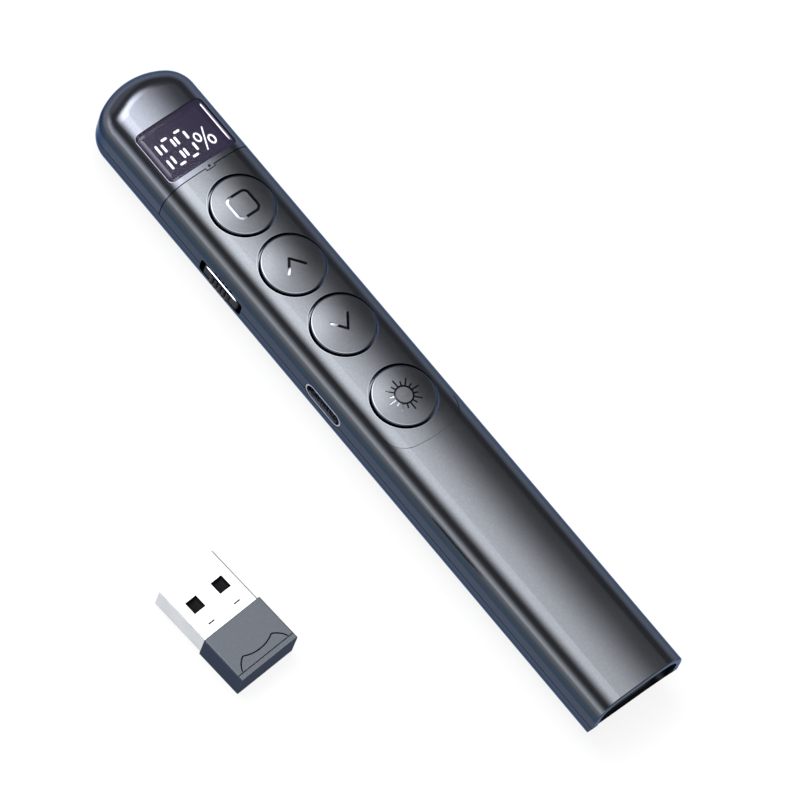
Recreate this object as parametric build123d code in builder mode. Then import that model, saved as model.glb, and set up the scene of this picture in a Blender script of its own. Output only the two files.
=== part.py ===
from build123d import *
import math
import os

# A slim presentation clicker that lies on its flat underside, with its USB receiver beside it.
# +X is the pen's right, +Y its nose, +Z up; the origin is the centre of the flat underside.
# All lengths are in millimetres.

# ---------------------------------------------------------------- casing
length = 134.8
width = 18.9
thickness = 13.5  # from the flat underside to the top of the crown
seam_drop = 7.3  # from the top of the crown to where the top and bottom shells part
crown_radius = 60.0
shoulder_radius = 4.7
keel_radius = 5.2
nose_corner_radius = 5.9
nose_end_radius = 13.4
rim_radius = 0.25
wall = 1.2
tail_undercut = 1.4  # how far the lower shell's end leans in, so that a nail reaches the receiver
seam_reveal = 0.18
reveal_depth = 0.3
lip_thickness = 0.6
lip_height = 1.0
lip_root = 1.2  # how far the lip reaches down below the seam
lip_head_room = 0.2
lip_end_gap = 0.4
bead_length = 4.0  # of the snap beads on the lip
bead_height = 0.3
bead_reach = 0.2
bead_rise = 0.7  # above the seam
tail_bead_inset = 15.4
tail_bead_pitch = 22.0
deck_bead_setback = 31.0  # from the split
nose_bead_inset = 13.4
slip = 0.05  # clearance of parts that slide together
sink = 0.1  # depth by which one feature is sunk into the wall that carries it

# ---------------------------------------------------------------- nose cover and its cross split
cover_length = 21.4  # from the nose tip to the split
tab_width = 1.6
tab_length = 0.45
tongue_reach = 1.0
tongue_root = 0.6
pinhole_diameter = 0.54
pipe_diameter = 1.2
pipe_tip_gap = 0.04
pipe_tip_recess = 0.2
led_length = 1.0
led_width = 0.6
led_height = 0.4

# ---------------------------------------------------------------- display
window_width = 14.2
window_length = 10.4
window_corner = 1.0
window_setback = 0.95  # from the split
window_recess = 0.15
window_thickness = 0.85
window_gap = 0.06
window_ledge = 0.8
module_side_gap = 0.6
module_end_gap = 0.2
module_below_window = 0.55
segment_depth = 0.2
segment_proud = 0.05
segment_stroke = 0.42
digit_setback = 0.2  # the digits' centre, towards the tail from the window's
digit_height = 5.3  # between the centre lines of a digit's top and bottom bars
digit_width = 1.96
digit_pitch = 2.73
digit_bar = 1.6
digit_bar_offset = 1.28
digit_cap_bar = 1.2
one_bar = 1.95
one_bar_rise = 1.5
one_bar_drop = 1.66
one_x = -4.63
first_zero_x = -2.6
percent_x = 3.37
percent_drop = 0.98
ring_offset_x = 0.95
ring_offset_y = 0.79
ring_width = 1.3
ring_length = 1.9
ring_stroke = 0.3
slash_length = 4.45
slash_stroke = 0.24
slash_angle = 66.0
pin_diameter = 0.5
pin_pitch = 2.0
pin_count = 5
pin_row_gap = 6.8
pin_length = 1.7

# ---------------------------------------------------------------- keys
key_diameter = 11.1
key_gap = 0.42
key_bridge = 1.36  # of the deck between two neighbouring key holes
first_key_setback = 8.9  # from the split to the first key
pointer_key_extra = 2.5  # how much further back the last key stands
key_rise = 0.4
key_crown_radius = 60.0
key_edge_radius = 0.25
key_flange_gap = 0.3  # between two neighbouring flanges
key_flange_depth = 1.5
key_clearance = 0.1
key_travel = 0.35
stem_diameter = 3.0
icon_depth = 0.25
icon_stroke = 0.5
square_icon_size = 4.8
square_icon_corner = 1.2
chevron_width = 3.6
chevron_height = 2.3
sun_ring_radius = 1.75
sun_ring_stroke = 0.32
long_ray_radius = 3.1
short_ray_radius = 2.5
ray_width = 0.28
ray_pairs = 8
deck_width = 14.8
deck_setback = 8.6  # from the last key's centre to the arc that ends the key deck
deck_corner_radius = 4.0
deck_end_radius = 22.0
deck_line_width = 0.16
deck_line_depth = 0.12

# ---------------------------------------------------------------- tact switches
switch_size = 5.2
switch_base_height = 1.5
switch_floor = 0.4
switch_bore = 4.2
switch_cover_thickness = 0.25
plunger_diameter = 2.4
plunger_flange_diameter = 3.4
stem_length = 0.5  # from the key's flange to the plunger
dome_diameter = 3.8
dome_squashed_height = 0.2
dome_thickness = 0.08

# ---------------------------------------------------------------- main board
board_thickness = 1.0
board_side_gap = 0.3
board_front_gap = 1.0  # to the laser's board
board_rear_setback = 9.7  # from the last key's centre
board_rear_gap = 1.8  # to the battery's board
board_corner_radius = 1.0
screw_shank_diameter = 1.6
screw_head_diameter = 3.0
screw_head_height = 0.8
screw_length = 4.6
screw_bore_gap = 0.05
post_diameter = 3.8
screw_recess_width = 0.35
screw_recess_length = 2.1
screw_recess_depth = 0.4
screw_x = 5.5
rear_screw_inset = 6.0
controller_size = 5.0
controller_height = 0.9
controller_x = 0.5
radio_size = 4.0
radio_height = 0.8
radio_x = 2.0
crystal_length = 3.2
crystal_width = 2.5
crystal_height = 0.8
crystal_x = -2.5
radio_setback = 1.0  # the radio chip and its crystal, from the split
antenna_length = 7.0
antenna_width = 2.0
antenna_height = 1.0
charger_size = 3.0
charger_height = 1.1
charger_x = 3.0
charger_part_pitch = 6.4
small_part_pitch = 2.0
small_part_x = 0.4
small_part_setback = 4.6

# ---------------------------------------------------------------- charging port, a USB-C receptacle
port_from_split = 43.3
port_rise = 0.95  # of the centre line, above the seam
port_opening_length = 8.94
port_opening_height = 3.26
port_shell_thickness = 0.3
port_depth = 7.3
port_recess = 0.08
port_clearance = 0.12
port_tongue_length = 6.7
port_tongue_thickness = 0.7
port_tongue_setback = 0.75
port_back = 1.2
port_wing_length = 1.0
port_wing_width = 1.0
port_wing_thickness = 0.25
port_wing_inset = 2.0  # of the rear wings, from the shell's rear end
port_wing_pitch = 2.7
port_pad_setback = 0.3
port_pad_count = 8
port_pad_pitch = 0.75
port_pad_width = 0.35
port_pad_length = 3.4
port_pad_thickness = 0.05

# ---------------------------------------------------------------- slide switch
slot_from_split = 16.5
slot_length = 10.75
slot_height = 3.3
slot_rise = 0.2  # of the centre line, above the seam
slot_corner = 0.7
knob_length = 8.8
knob_height = 2.8
knob_corner = 0.5
knob_chamfer = 0.2
knob_travel = 0.8  # each way from the middle
knob_flange_overlap = 2.0
knob_flange_thickness = 0.45
knob_flange_height = 3.7
knob_flange_gap = 0.15
knob_end_room = 0.2
rib_count = 5
rib_pitch = 1.0
rib_radius = 0.4
rib_rise = 0.1  # of a rib's centre, out of the side
lever_length = 1.2
lever_height = 0.8
lever_drop = 0.5  # below the slot's centre line
lever_reach = 0.45
lever_root = 1.0
lever_end_room = 0.1
case_length = 6.7
case_depth = 2.7
case_height = 1.5
case_setback = 0.1

# ---------------------------------------------------------------- battery
battery_width = 13.0
battery_thickness = 6.3
battery_corner = 1.2
battery_floor_gap = 0.9
battery_rear_gap = 0.65
guard_thickness = 1.0
guard_width = 11.0
guard_height = 5.2
guard_rise = 0.8  # above the leads
foam_inset = 4.0
foam_width = 9.0
lead_diameter = 0.9
lead_spacing = 1.6
socket_length = 3.6
socket_width = 4.4
socket_height = 2.4
socket_inset = 1.2
rib_thickness = 1.0
rib_width = 10.0
battery_rib_inset = 4.0
liner_rib_inset = 5.0

# ---------------------------------------------------------------- laser in the nose
barrel_diameter = 5.6
barrel_length = 5.9
barrel_bore = 4.4
barrel_front_gap = 2.3  # behind the nose tip
beam_diameter = 2.6
lens_thickness = 0.8
lens_setback = 0.4
diode_diameter = 3.3
diode_flange_diameter = 4.3
diode_flange_thickness = 0.4
diode_length = 2.6
laser_board_diameter = 5.2
laser_board_thickness = 0.8
bezel_diameter = 4.0
bezel_recess = 0.2
saddle_width = 8.0
saddle_inset = 1.5
laser_lead_overlap = 0.7  # of the leads and the main board
laser_lead_lift = 0.02

# ---------------------------------------------------------------- receiver, a USB-A plug with a cap
plug_width = 12.0
plug_height = 4.5
plug_length = 10.9
plug_metal = 0.3
plug_window = 2.4
plug_window_x = 2.85
plug_window_setback = 5.6
plug_crimp_length = 1.3
plug_crimp_width = 0.25
plug_crimp_setback = 1.7
cap_side_step = 0.2  # from the plug out to the cap
cap_top_step = 0.45
cap_length = 9.3
cap_wall = 0.5
cap_edge_radius = 0.2
cap_line_setback = 1.1
cap_line_width = 0.16
cap_line_depth = 0.1
grip_stroke = 0.24
grip_depth = 0.15
grip_width = 10.2
grip_top_width = 6.4
grip_bulge = 0.25
grip_rise = 2.0
grip_dip = 0.8
core_gap = 0.05
core_depth = 4.1  # how far the plug's plastic core reaches into the cap
core_step = 1.0  # how far its full height reaches into the plug
plug_tongue_thickness = 1.9
plug_tongue_setback = 0.5
contact_width = 1.0
contact_length = 7.0
contact_thickness = 0.1
contact_pitch = 2.3
contact_setback = 1.2
receiver_board_thickness = 0.8
receiver_board_rise = 0.6
receiver_board_side_gap = 0.3
receiver_board_end_gap = 0.2
receiver_chip_size = 3.6
receiver_chip_height = 0.9
receiver_x = -45.0
receiver_y = -22.6
receiver_yaw = 4.0

# ---------------------------------------------------------------- tail bay
bay_clearance = 0.2
liner_recess = 1.8
liner_plate = 1.2
liner_gap = 0.08
liner_wall = 0.7
liner_floor = 1.1
liner_stop = 0.5
magnet_width = 8.0
magnet_height = 4.0
magnet_thickness = 2.0

# ---------------------------------------------------------------- places worked out from the sizes
nose_y = length / 2
tail_y = -length / 2
split_y = nose_y - cover_length
side_x = width / 2
crown_centre_z = thickness - crown_radius
seam_height = thickness - seam_drop
above_lip = seam_height + lip_height + lip_head_room

window_y = split_y + window_setback + window_length / 2
window_seat = window_recess + window_thickness
module_width = window_width - 2 * window_ledge - 2 * module_side_gap
module_length = window_length - 2 * window_ledge - 2 * module_end_gap
module_top = thickness - window_seat - module_below_window

hole_radius = key_diameter / 2 + key_gap
key_pitch = 2 * hole_radius + key_bridge
key_flange_radius = (key_pitch - key_flange_gap) / 2
key_y = {
    "screen": split_y - first_key_setback,
    "previous": split_y - first_key_setback - key_pitch,
    "next": split_y - first_key_setback - 2 * key_pitch,
    "pointer": split_y - first_key_setback - 3 * key_pitch - pointer_key_extra,
}
key_top = thickness + key_rise

port_height = seam_height + port_rise
slot_centre_height = seam_height + slot_rise
board_top = port_height + board_thickness / 2
board_bottom = board_top - board_thickness
board_half_width = side_x - wall - slip - lip_thickness - board_side_gap
switch_base_top = board_top + switch_base_height
switch_cover_top = switch_base_top + switch_cover_thickness
key_flange_top = thickness - wall - key_clearance
key_flange_bottom = key_flange_top - key_flange_depth
plunger_top = key_flange_bottom - stem_length

port_y = split_y - port_from_split
slot_y = split_y - slot_from_split
lever_height_z = slot_centre_height - lever_drop
knob_flange_x = -side_x + wall + knob_flange_gap
knob_flange_inner_x = knob_flange_x + knob_flange_thickness
knob_flange_half = knob_length / 2 + knob_flange_overlap

cap_width = plug_width + 2 * cap_side_step
cap_height = plug_height + 2 * cap_top_step
bay_height = thickness / 2
mouth_y = tail_y + liner_recess
plug_stop_y = tail_y + cap_length + plug_length + bay_clearance
liner_rear = plug_stop_y + liner_stop + magnet_thickness + slip
liner_half_width = cap_width / 2 + bay_clearance + liner_wall
liner_half_height = cap_height / 2 + bay_clearance + liner_floor
lip_rear = mouth_y + liner_plate + lip_end_gap

battery_bottom = wall + battery_floor_gap
battery_top = battery_bottom + battery_thickness

barrel_front = nose_y - barrel_front_gap
barrel_rear = barrel_front - barrel_length
laser_board_rear = barrel_rear - laser_board_thickness
laser_z = seam_height

board_front = laser_board_rear - board_front_gap
board_rear = key_y["pointer"] - board_rear_setback
guard_front = board_rear - board_rear_gap
battery_front = guard_front - guard_thickness
battery_rear = liner_rear + battery_rear_gap
screws = [
    (screw_x, key_y["previous"] + key_pitch / 2),
    (-screw_x, key_y["next"] + key_pitch / 2),
    (screw_x, board_rear + rear_screw_inset),
    (-screw_x, board_rear + rear_screw_inset),
]


def casing_form(inset, tail_extension=0.0):
    """The casing's outer form with every surface moved in by inset, and its tail moved out."""
    corner_x = side_x - nose_corner_radius
    end_y = nose_y - nose_end_radius
    corner_y = end_y + math.sqrt((nose_end_radius - nose_corner_radius) ** 2 - corner_x**2)
    blend = math.degrees(math.atan2(corner_y - end_y, corner_x))
    half = side_x - inset
    tail = tail_y - tail_extension
    with BuildPart() as form:
        with BuildSketch(Plane.XY.offset(inset)):
            with BuildLine():
                Line((half, tail), (half, corner_y))
                CenterArc((corner_x, corner_y), nose_corner_radius - inset, 0, blend)
                CenterArc((0, end_y), nose_end_radius - inset, blend, 180 - 2 * blend)
                CenterArc((-corner_x, corner_y), nose_corner_radius - inset, 180 - blend, blend)
                Line((-half, corner_y), (-half, tail))
                Line((-half, tail), (half, tail))
            make_face()
        extrude(amount=thickness - 2 * inset)
        with BuildSketch(Plane.XZ):
            with Locations((0, crown_centre_z)):
                Circle(crown_radius - inset)
        extrude(amount=length, both=True, mode=Mode.INTERSECT)
        crown_edges = form.faces().sort_by(Axis.Z)[-1].edges().sort_by(Axis.Y)[1:]
        fillet(crown_edges, radius=shoulder_radius - inset)
        keel_edges = form.faces().sort_by(Axis.Z)[0].edges().sort_by(Axis.Y)[1:]
        fillet(keel_edges, radius=keel_radius - inset)
    return form.part


def casing_layer(outer_depth, inner_depth):
    """The layer of the casing between two depths below its surface, open at the tail."""
    outer = casing_form(outer_depth)
    inner = casing_form(inner_depth, tail_extension=wall)
    with BuildPart() as layer:
        add(outer)
        add(inner, mode=Mode.SUBTRACT)
    return layer.part


def block(low, high, mode=Mode.ADD):
    """A block between two opposite corners, in the part that is being built."""
    with Locations(tuple((a + b) / 2 for a, b in zip(low, high))):
        Box(*(b - a for a, b in zip(low, high)), mode=mode)


def upright_cylinder(x, y, radius, low, high, mode=Mode.ADD):
    """A vertical cylinder between two heights, in the part that is being built."""
    with Locations((x, y, (low + high) / 2)):
        Cylinder(radius, high - low, mode=mode)


def lengthways_cylinder(x, z, radius, rear, front, mode=Mode.ADD):
    """A cylinder along the pen between two places, in the part that is being built."""
    with Locations((x, (rear + front) / 2, z)):
        Cylinder(radius, front - rear, rotation=(90, 0, 0), mode=mode)


# ---------------------------------------------------------------- cutters shared by the shells
outer_form = casing_form(0)
cavity = casing_form(wall, tail_extension=wall)
reveal_skin = casing_layer(0, reveal_depth)

with BuildPart() as casing:
    add(outer_form)
    fillet(casing.faces().sort_by(Axis.Y)[0].edges(), radius=rim_radius)
    add(cavity, mode=Mode.SUBTRACT)

with BuildPart() as cover_region:
    with BuildSketch(Plane.XY.offset(seam_height)):
        with Locations((0, (split_y + length) / 2)):
            Rectangle(2 * width, length - split_y)
        with Locations((0, split_y)):
            Rectangle(tab_width, 2 * tab_length)
    extrude(amount=thickness)

with BuildPart() as split_reveal:
    with BuildSketch(Plane.XY.offset(seam_height)):
        with Locations((0, (split_y - seam_reveal + length) / 2)):
            Rectangle(2 * width, length - split_y + seam_reveal)
        with Locations((0, split_y)):
            Rectangle(tab_width + 2 * seam_reveal, 2 * tab_length + 2 * seam_reveal)
    extrude(amount=thickness)
    add(cover_region.part, mode=Mode.SUBTRACT)
    add(reveal_skin, mode=Mode.INTERSECT)

with BuildPart() as seam_groove:
    add(reveal_skin)
    block((-width, -length, seam_height), (width, length, seam_height + seam_reveal), mode=Mode.INTERSECT)

with BuildPart() as port_slot:
    with BuildSketch(Plane.YZ.offset(-side_x)):
        with Locations((port_y, port_height)):
            SlotOverall(port_opening_length + 2 * port_clearance, port_opening_height + 2 * port_clearance)
    extrude(amount=2 * (wall + lip_thickness), both=True)

with BuildPart() as knob_slot:
    with BuildSketch(Plane.YZ.offset(-side_x)):
        with Locations((slot_y, slot_centre_height)):
            RectangleRounded(slot_length, slot_height, slot_corner)
    extrude(amount=2 * (wall + lip_thickness), both=True)

with BuildPart() as beam_hole:
    lengthways_cylinder(0, laser_z, bezel_diameter / 2 + slip, barrel_front, nose_y + wall)

# Beads on the bottom shell's lip snap into pockets in the upper pieces.
bead_places = [
    tail_y + tail_bead_inset,
    tail_y + tail_bead_inset + tail_bead_pitch,
    split_y - deck_bead_setback,
    nose_y - nose_bead_inset,
]


def snap_beads(margin):
    """The snap beads along both sides with a margin around each, which gives the pockets too."""
    depth = sink + bead_reach + margin
    middle_x = side_x - wall - slip - sink + depth / 2
    with BuildPart() as beads:
        for y in bead_places:
            with Locations((-middle_x, y, seam_height + bead_rise), (middle_x, y, seam_height + bead_rise)):
                Box(depth, bead_length + 2 * margin, bead_height + 2 * margin)
    return beads.part


bead_ridges = snap_beads(0)
bead_pockets = snap_beads(slip)

# ---------------------------------------------------------------- bottom shell
lip_root_layer = casing_layer(wall - sink, wall + slip + lip_thickness)
lip_layer = casing_layer(wall + slip, wall + slip + lip_thickness)
fitting_bounds = casing_form(wall / 2)

with BuildPart() as bottom_lip:
    add(lip_layer)
    block(
        (-width, lip_rear, seam_height),
        (width, length, seam_height + lip_height),
        mode=Mode.INTERSECT,
    )

with BuildPart() as lip_base:
    add(lip_root_layer)
    block(
        (-width, lip_rear, seam_height - lip_root),
        (width, length, seam_height),
        mode=Mode.INTERSECT,
    )


def floor_rib(y, across, top):
    """A rib across the floor up to a height, in the part that is being built."""
    block((-across / 2, y - rib_thickness / 2, 0), (across / 2, y + rib_thickness / 2, top))


with BuildPart() as floor_fittings:
    for x, y in screws:
        upright_cylinder(x, y, post_diameter / 2, 0, board_bottom)
    battery_middle = (battery_rear + battery_front) / 2
    for y in (battery_rear + battery_rib_inset, battery_middle, battery_front - battery_rib_inset):
        floor_rib(y, rib_width, battery_bottom - slip)
    for y in (mouth_y + liner_rib_inset, liner_rear - liner_rib_inset):
        floor_rib(y, rib_width, bay_height - liner_half_height - slip)
    for y in (barrel_rear + saddle_inset, barrel_front - saddle_inset):
        floor_rib(y, saddle_width, laser_z - sink)
    lengthways_cylinder(
        0, laser_z, barrel_diameter / 2 + slip, barrel_rear - wall, barrel_front + wall, mode=Mode.SUBTRACT
    )
    add(fitting_bounds, mode=Mode.INTERSECT)

with BuildPart() as bottom_shell:
    add(casing.part)
    split(bisect_by=Plane.XY.offset(seam_height), keep=Keep.BOTTOM)
    add(lip_base.part)
    add(bottom_lip.part)
    # The lip makes room for the liner's sleeve.
    block(
        (-liner_half_width - liner_gap, tail_y, seam_height - lip_root - sink),
        (liner_half_width + liner_gap, liner_rear + liner_gap, seam_height + lip_height),
        mode=Mode.SUBTRACT,
    )
    add(bead_ridges)
    add(floor_fittings.part)
    for x, y in screws:
        bore = screw_shank_diameter / 2 + screw_bore_gap
        upright_cylinder(x, y, bore, board_bottom - screw_length, board_bottom, mode=Mode.SUBTRACT)
    add(port_slot.part, mode=Mode.SUBTRACT)
    add(knob_slot.part, mode=Mode.SUBTRACT)
    add(beam_hole.part, mode=Mode.SUBTRACT)
    # The lip stops where the slide switch's flange and the port pass.
    knob_room = knob_flange_half + knob_travel + knob_end_room
    block(
        (-side_x + wall, slot_y - knob_room, seam_height - lip_root - sink),
        (-board_half_width, slot_y + knob_room, seam_height + lip_height),
        mode=Mode.SUBTRACT,
    )
    # The end leans in below the seam.
    with BuildSketch(Plane.YZ):
        with BuildLine():
            Polyline(
                (tail_y, seam_height),
                (tail_y + tail_undercut, 0),
                (tail_y + tail_undercut, -1),
                (tail_y - 1, -1),
                (tail_y - 1, seam_height),
                close=True,
            )
        make_face()
    extrude(amount=width, both=True, mode=Mode.SUBTRACT)

# ---------------------------------------------------------------- top shell with the key deck
with BuildPart() as deck_line:
    deck_end = key_y["pointer"] - deck_setback
    corner_x = deck_width / 2 - deck_corner_radius
    end_centre = deck_end + deck_end_radius
    corner_y = end_centre - math.sqrt((deck_end_radius - deck_corner_radius) ** 2 - corner_x**2)
    turn = math.degrees(math.atan2(end_centre - corner_y, corner_x))
    with BuildSketch(Plane.XY.offset(thickness / 2)):
        with BuildLine():
            CenterArc((corner_x, corner_y), deck_corner_radius, -turn, turn)
            CenterArc((0, end_centre), deck_end_radius, -180 + turn, 180 - 2 * turn)
            CenterArc((-corner_x, corner_y), deck_corner_radius, 180, turn)
        trace(line_width=deck_line_width)
    extrude(amount=thickness)
    add(casing_layer(0, deck_line_depth), mode=Mode.INTERSECT)

with BuildPart() as top_shell:
    add(casing.part)
    split(bisect_by=Plane.XY.offset(seam_height), keep=Keep.TOP)
    add(cover_region.part, mode=Mode.SUBTRACT)
    add(split_reveal.part, mode=Mode.SUBTRACT)
    add(seam_groove.part, mode=Mode.SUBTRACT)
    for y in key_y.values():
        upright_cylinder(0, y, hole_radius, key_flange_bottom, thickness + 1, mode=Mode.SUBTRACT)
    add(bead_pockets, mode=Mode.SUBTRACT)
    add(port_slot.part, mode=Mode.SUBTRACT)
    add(knob_slot.part, mode=Mode.SUBTRACT)
    add(deck_line.part, mode=Mode.SUBTRACT)

# ---------------------------------------------------------------- nose cover
with BuildPart() as window_frame:
    add(casing_layer(wall - sink, window_seat + window_ledge))
    block(
        (-window_width / 2 - window_ledge, window_y - window_length / 2 - window_ledge, above_lip),
        (window_width / 2 + window_ledge, window_y + window_length / 2 + window_ledge, thickness),
        mode=Mode.INTERSECT,
    )

with BuildPart() as cover_tongue_root:
    add(lip_root_layer)
    block((-width, split_y, above_lip), (width, split_y + tongue_root, thickness), mode=Mode.INTERSECT)

with BuildPart() as cover_tongue:
    add(lip_layer)
    block(
        (-width, split_y - tongue_reach, above_lip),
        (width, split_y + tongue_root, thickness),
        mode=Mode.INTERSECT,
    )

with BuildPart() as window_pocket:
    add(casing_layer(0, window_seat))
    with BuildSketch(Plane.XY.offset(seam_height)):
        with Locations((0, window_y)):
            RectangleRounded(window_width, window_length, window_corner)
    extrude(amount=thickness, mode=Mode.INTERSECT)

with BuildPart() as head_cover:
    add(casing.part)
    split(bisect_by=Plane.XY.offset(seam_height), keep=Keep.TOP)
    add(cover_region.part, mode=Mode.INTERSECT)
    add(window_frame.part)
    add(cover_tongue_root.part)
    add(cover_tongue.part)
    add(seam_groove.part, mode=Mode.SUBTRACT)
    add(window_pocket.part, mode=Mode.SUBTRACT)
    with BuildSketch(Plane.XY.offset(seam_height + lip_height)):
        with Locations((0, window_y)):
            RectangleRounded(
                window_width - 2 * window_ledge, window_length - 2 * window_ledge, window_corner / 2
            )
    extrude(amount=thickness, mode=Mode.SUBTRACT)
    upright_cylinder(0, split_y, pinhole_diameter / 2, seam_height, thickness + 1, mode=Mode.SUBTRACT)
    pipe_room = pipe_diameter / 2 + slip
    upright_cylinder(0, split_y, pipe_room, seam_height, thickness - wall, mode=Mode.SUBTRACT)
    add(bead_pockets, mode=Mode.SUBTRACT)
    add(beam_hole.part, mode=Mode.SUBTRACT)

# ---------------------------------------------------------------- display
with BuildPart() as display_window:
    add(casing_layer(window_recess, window_seat))
    with BuildSketch(Plane.XY.offset(seam_height)):
        with Locations((0, window_y)):
            RectangleRounded(
                window_width - 2 * window_gap, window_length - 2 * window_gap, window_corner - window_gap
            )
    extrude(amount=thickness, mode=Mode.INTERSECT)

segment_plane = Plane.XY.offset(module_top - segment_depth)


def segment_outlines():
    """The outlines of the lit segments, in the sketch that is being built: 1, 0, 0 and a per cent sign."""
    digit_y = window_y - digit_setback
    with Locations((one_x, digit_y + one_bar_rise), (one_x, digit_y - one_bar_drop)):
        SlotOverall(one_bar, segment_stroke, rotation=90)
    for zero_x in (first_zero_x, first_zero_x + digit_pitch):
        for side in (-1, 1):
            with Locations((zero_x + side * digit_width / 2, digit_y)):
                with Locations((0, digit_bar_offset), (0, -digit_bar_offset)):
                    SlotOverall(digit_bar, segment_stroke, rotation=90)
            with Locations((zero_x, digit_y + side * digit_height / 2)):
                SlotOverall(digit_cap_bar, segment_stroke)
    with Locations((percent_x, digit_y - percent_drop)):
        with Locations((-ring_offset_x, ring_offset_y), (ring_offset_x, -ring_offset_y)):
            Ellipse(ring_width / 2, ring_length / 2)
            Ellipse(ring_width / 2 - ring_stroke, ring_length / 2 - ring_stroke, mode=Mode.SUBTRACT)
        SlotOverall(slash_length, slash_stroke, rotation=slash_angle)


with BuildPart() as display_module:
    block(
        (-module_width / 2, window_y - module_length / 2, board_top),
        (module_width / 2, window_y + module_length / 2, module_top),
    )
    with BuildSketch(segment_plane):
        segment_outlines()
    extrude(amount=segment_depth, mode=Mode.SUBTRACT)

with BuildPart() as display_segments:
    with BuildSketch(segment_plane):
        segment_outlines()
    extrude(amount=segment_depth + segment_proud)

with BuildPart() as display_pins:
    with Locations((0, window_y, board_top - pin_length / 2)):
        with GridLocations(pin_pitch, pin_row_gap, pin_count, 2):
            Cylinder(pin_diameter / 2, pin_length)

with BuildPart() as indicator_led:
    block(
        (-led_length / 2, split_y - led_width / 2, board_top),
        (led_length / 2, split_y + led_width / 2, board_top + led_height),
    )

with BuildPart() as indicator_pipe:
    pipe_bottom = board_top + led_height + slip
    tip_radius = pinhole_diameter / 2 - pipe_tip_gap
    upright_cylinder(0, split_y, pipe_diameter / 2, pipe_bottom, thickness - wall - sink)
    upright_cylinder(0, split_y, tip_radius, pipe_bottom, thickness - pipe_tip_recess)

# ---------------------------------------------------------------- keys
flange_bounds = casing_form(wall + key_clearance)


def square_icon():
    """A rounded square outline."""
    RectangleRounded(square_icon_size, square_icon_size, square_icon_corner)
    inner = square_icon_size - 2 * icon_stroke
    RectangleRounded(inner, inner, square_icon_corner - icon_stroke, mode=Mode.SUBTRACT)


def chevron_icon(direction):
    """A chevron whose tip points to the nose for direction 1 and to the tail for direction -1."""
    foot_y = -direction * chevron_height / 2
    for side in (-1, 1):
        middle = (side * chevron_width / 4, 0)
        SlotCenterPoint(middle, (side * chevron_width / 2, foot_y), icon_stroke)


def previous_icon():
    """A chevron that points to the nose."""
    chevron_icon(1)


def next_icon():
    """A chevron that points to the tail."""
    chevron_icon(-1)


def sun_icon():
    """A ring with long and short rays in turn."""
    inner = sun_ring_radius - sun_ring_stroke
    Circle(sun_ring_radius)
    Circle(inner, mode=Mode.SUBTRACT)
    for radius, first in ((long_ray_radius, 0.0), (short_ray_radius, 180 / ray_pairs)):
        reach = radius - inner - sun_ring_stroke / 2
        with PolarLocations(radius - reach / 2, ray_pairs, start_angle=first):
            Rectangle(reach, ray_width)


icons = {
    "screen": square_icon,
    "previous": previous_icon,
    "next": next_icon,
    "pointer": sun_icon,
}
key_edge_drop = key_crown_radius - math.sqrt(key_crown_radius**2 - (key_diameter / 2) ** 2)
keys = {}
for name, y in key_y.items():
    with BuildPart() as key_flange:
        upright_cylinder(0, y, key_flange_radius, key_flange_bottom, thickness)
        add(flange_bounds, mode=Mode.INTERSECT)
    with BuildPart() as key:
        with BuildSketch(Plane.XZ.offset(-y)):
            with BuildLine():
                Line((0, key_flange_bottom), (key_diameter / 2, key_flange_bottom))
                Line((key_diameter / 2, key_flange_bottom), (key_diameter / 2, key_top - key_edge_drop))
                RadiusArc((key_diameter / 2, key_top - key_edge_drop), (0, key_top), -key_crown_radius)
                Line((0, key_top), (0, key_flange_bottom))
            make_face()
        revolve(axis=Axis((0, y, 0), (0, 0, 1)))
        rim = key.edges().filter_by(lambda edge: edge.is_closed).sort_by(Axis.Z)[-1]
        fillet(rim, radius=key_edge_radius)
        add(key_flange.part)
        upright_cylinder(0, y, stem_diameter / 2, plunger_top, key_flange_bottom)
        with BuildSketch(Plane.XY.offset(key_top - icon_depth)):
            with Locations((0, y)):
                icons[name]()
        extrude(amount=2 * icon_depth, mode=Mode.SUBTRACT)
    keys[name + "_key"] = key

# ---------------------------------------------------------------- tact switches below the keys
base_floor = board_top + switch_floor
dome_height = dome_squashed_height + key_travel
dome_radius = ((dome_diameter / 2) ** 2 + dome_height**2) / (2 * dome_height)

with BuildPart() as switch_bases:
    for y in key_y.values():
        block(
            (-switch_size / 2, y - switch_size / 2, board_top),
            (switch_size / 2, y + switch_size / 2, switch_base_top),
        )
        upright_cylinder(0, y, switch_bore / 2, base_floor, switch_base_top, mode=Mode.SUBTRACT)

with BuildPart() as switch_covers:
    for y in key_y.values():
        block(
            (-switch_size / 2, y - switch_size / 2, switch_base_top),
            (switch_size / 2, y + switch_size / 2, switch_cover_top),
        )
        upright_cylinder(
            0, y, plunger_diameter / 2 + slip, switch_base_top, switch_cover_top, mode=Mode.SUBTRACT
        )

domes = {}
plungers = {}
for name, y in key_y.items():
    with BuildPart() as dome:
        with BuildSketch(Plane.XZ.offset(-y)):
            with Locations((0, base_floor + dome_height - dome_radius)):
                Circle(dome_radius)
                Circle(dome_radius - dome_thickness, mode=Mode.SUBTRACT)
            with Locations((dome_diameter / 2, base_floor + dome_height)):
                Rectangle(dome_diameter, 2 * dome_height, mode=Mode.INTERSECT)
        revolve(axis=Axis((0, y, 0), (0, 0, 1)))
    domes[name + "_dome"] = dome
    with BuildPart() as plunger:
        flange_low = base_floor + dome_height + slip
        upright_cylinder(0, y, plunger_flange_diameter / 2, flange_low, switch_base_top - slip)
        upright_cylinder(0, y, plunger_diameter / 2, flange_low, plunger_top)
    plungers[name + "_plunger"] = plunger

# ---------------------------------------------------------------- main board and what is soldered to it
port_rear_x = -side_x + port_recess + port_depth
port_half = port_opening_length / 2

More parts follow.
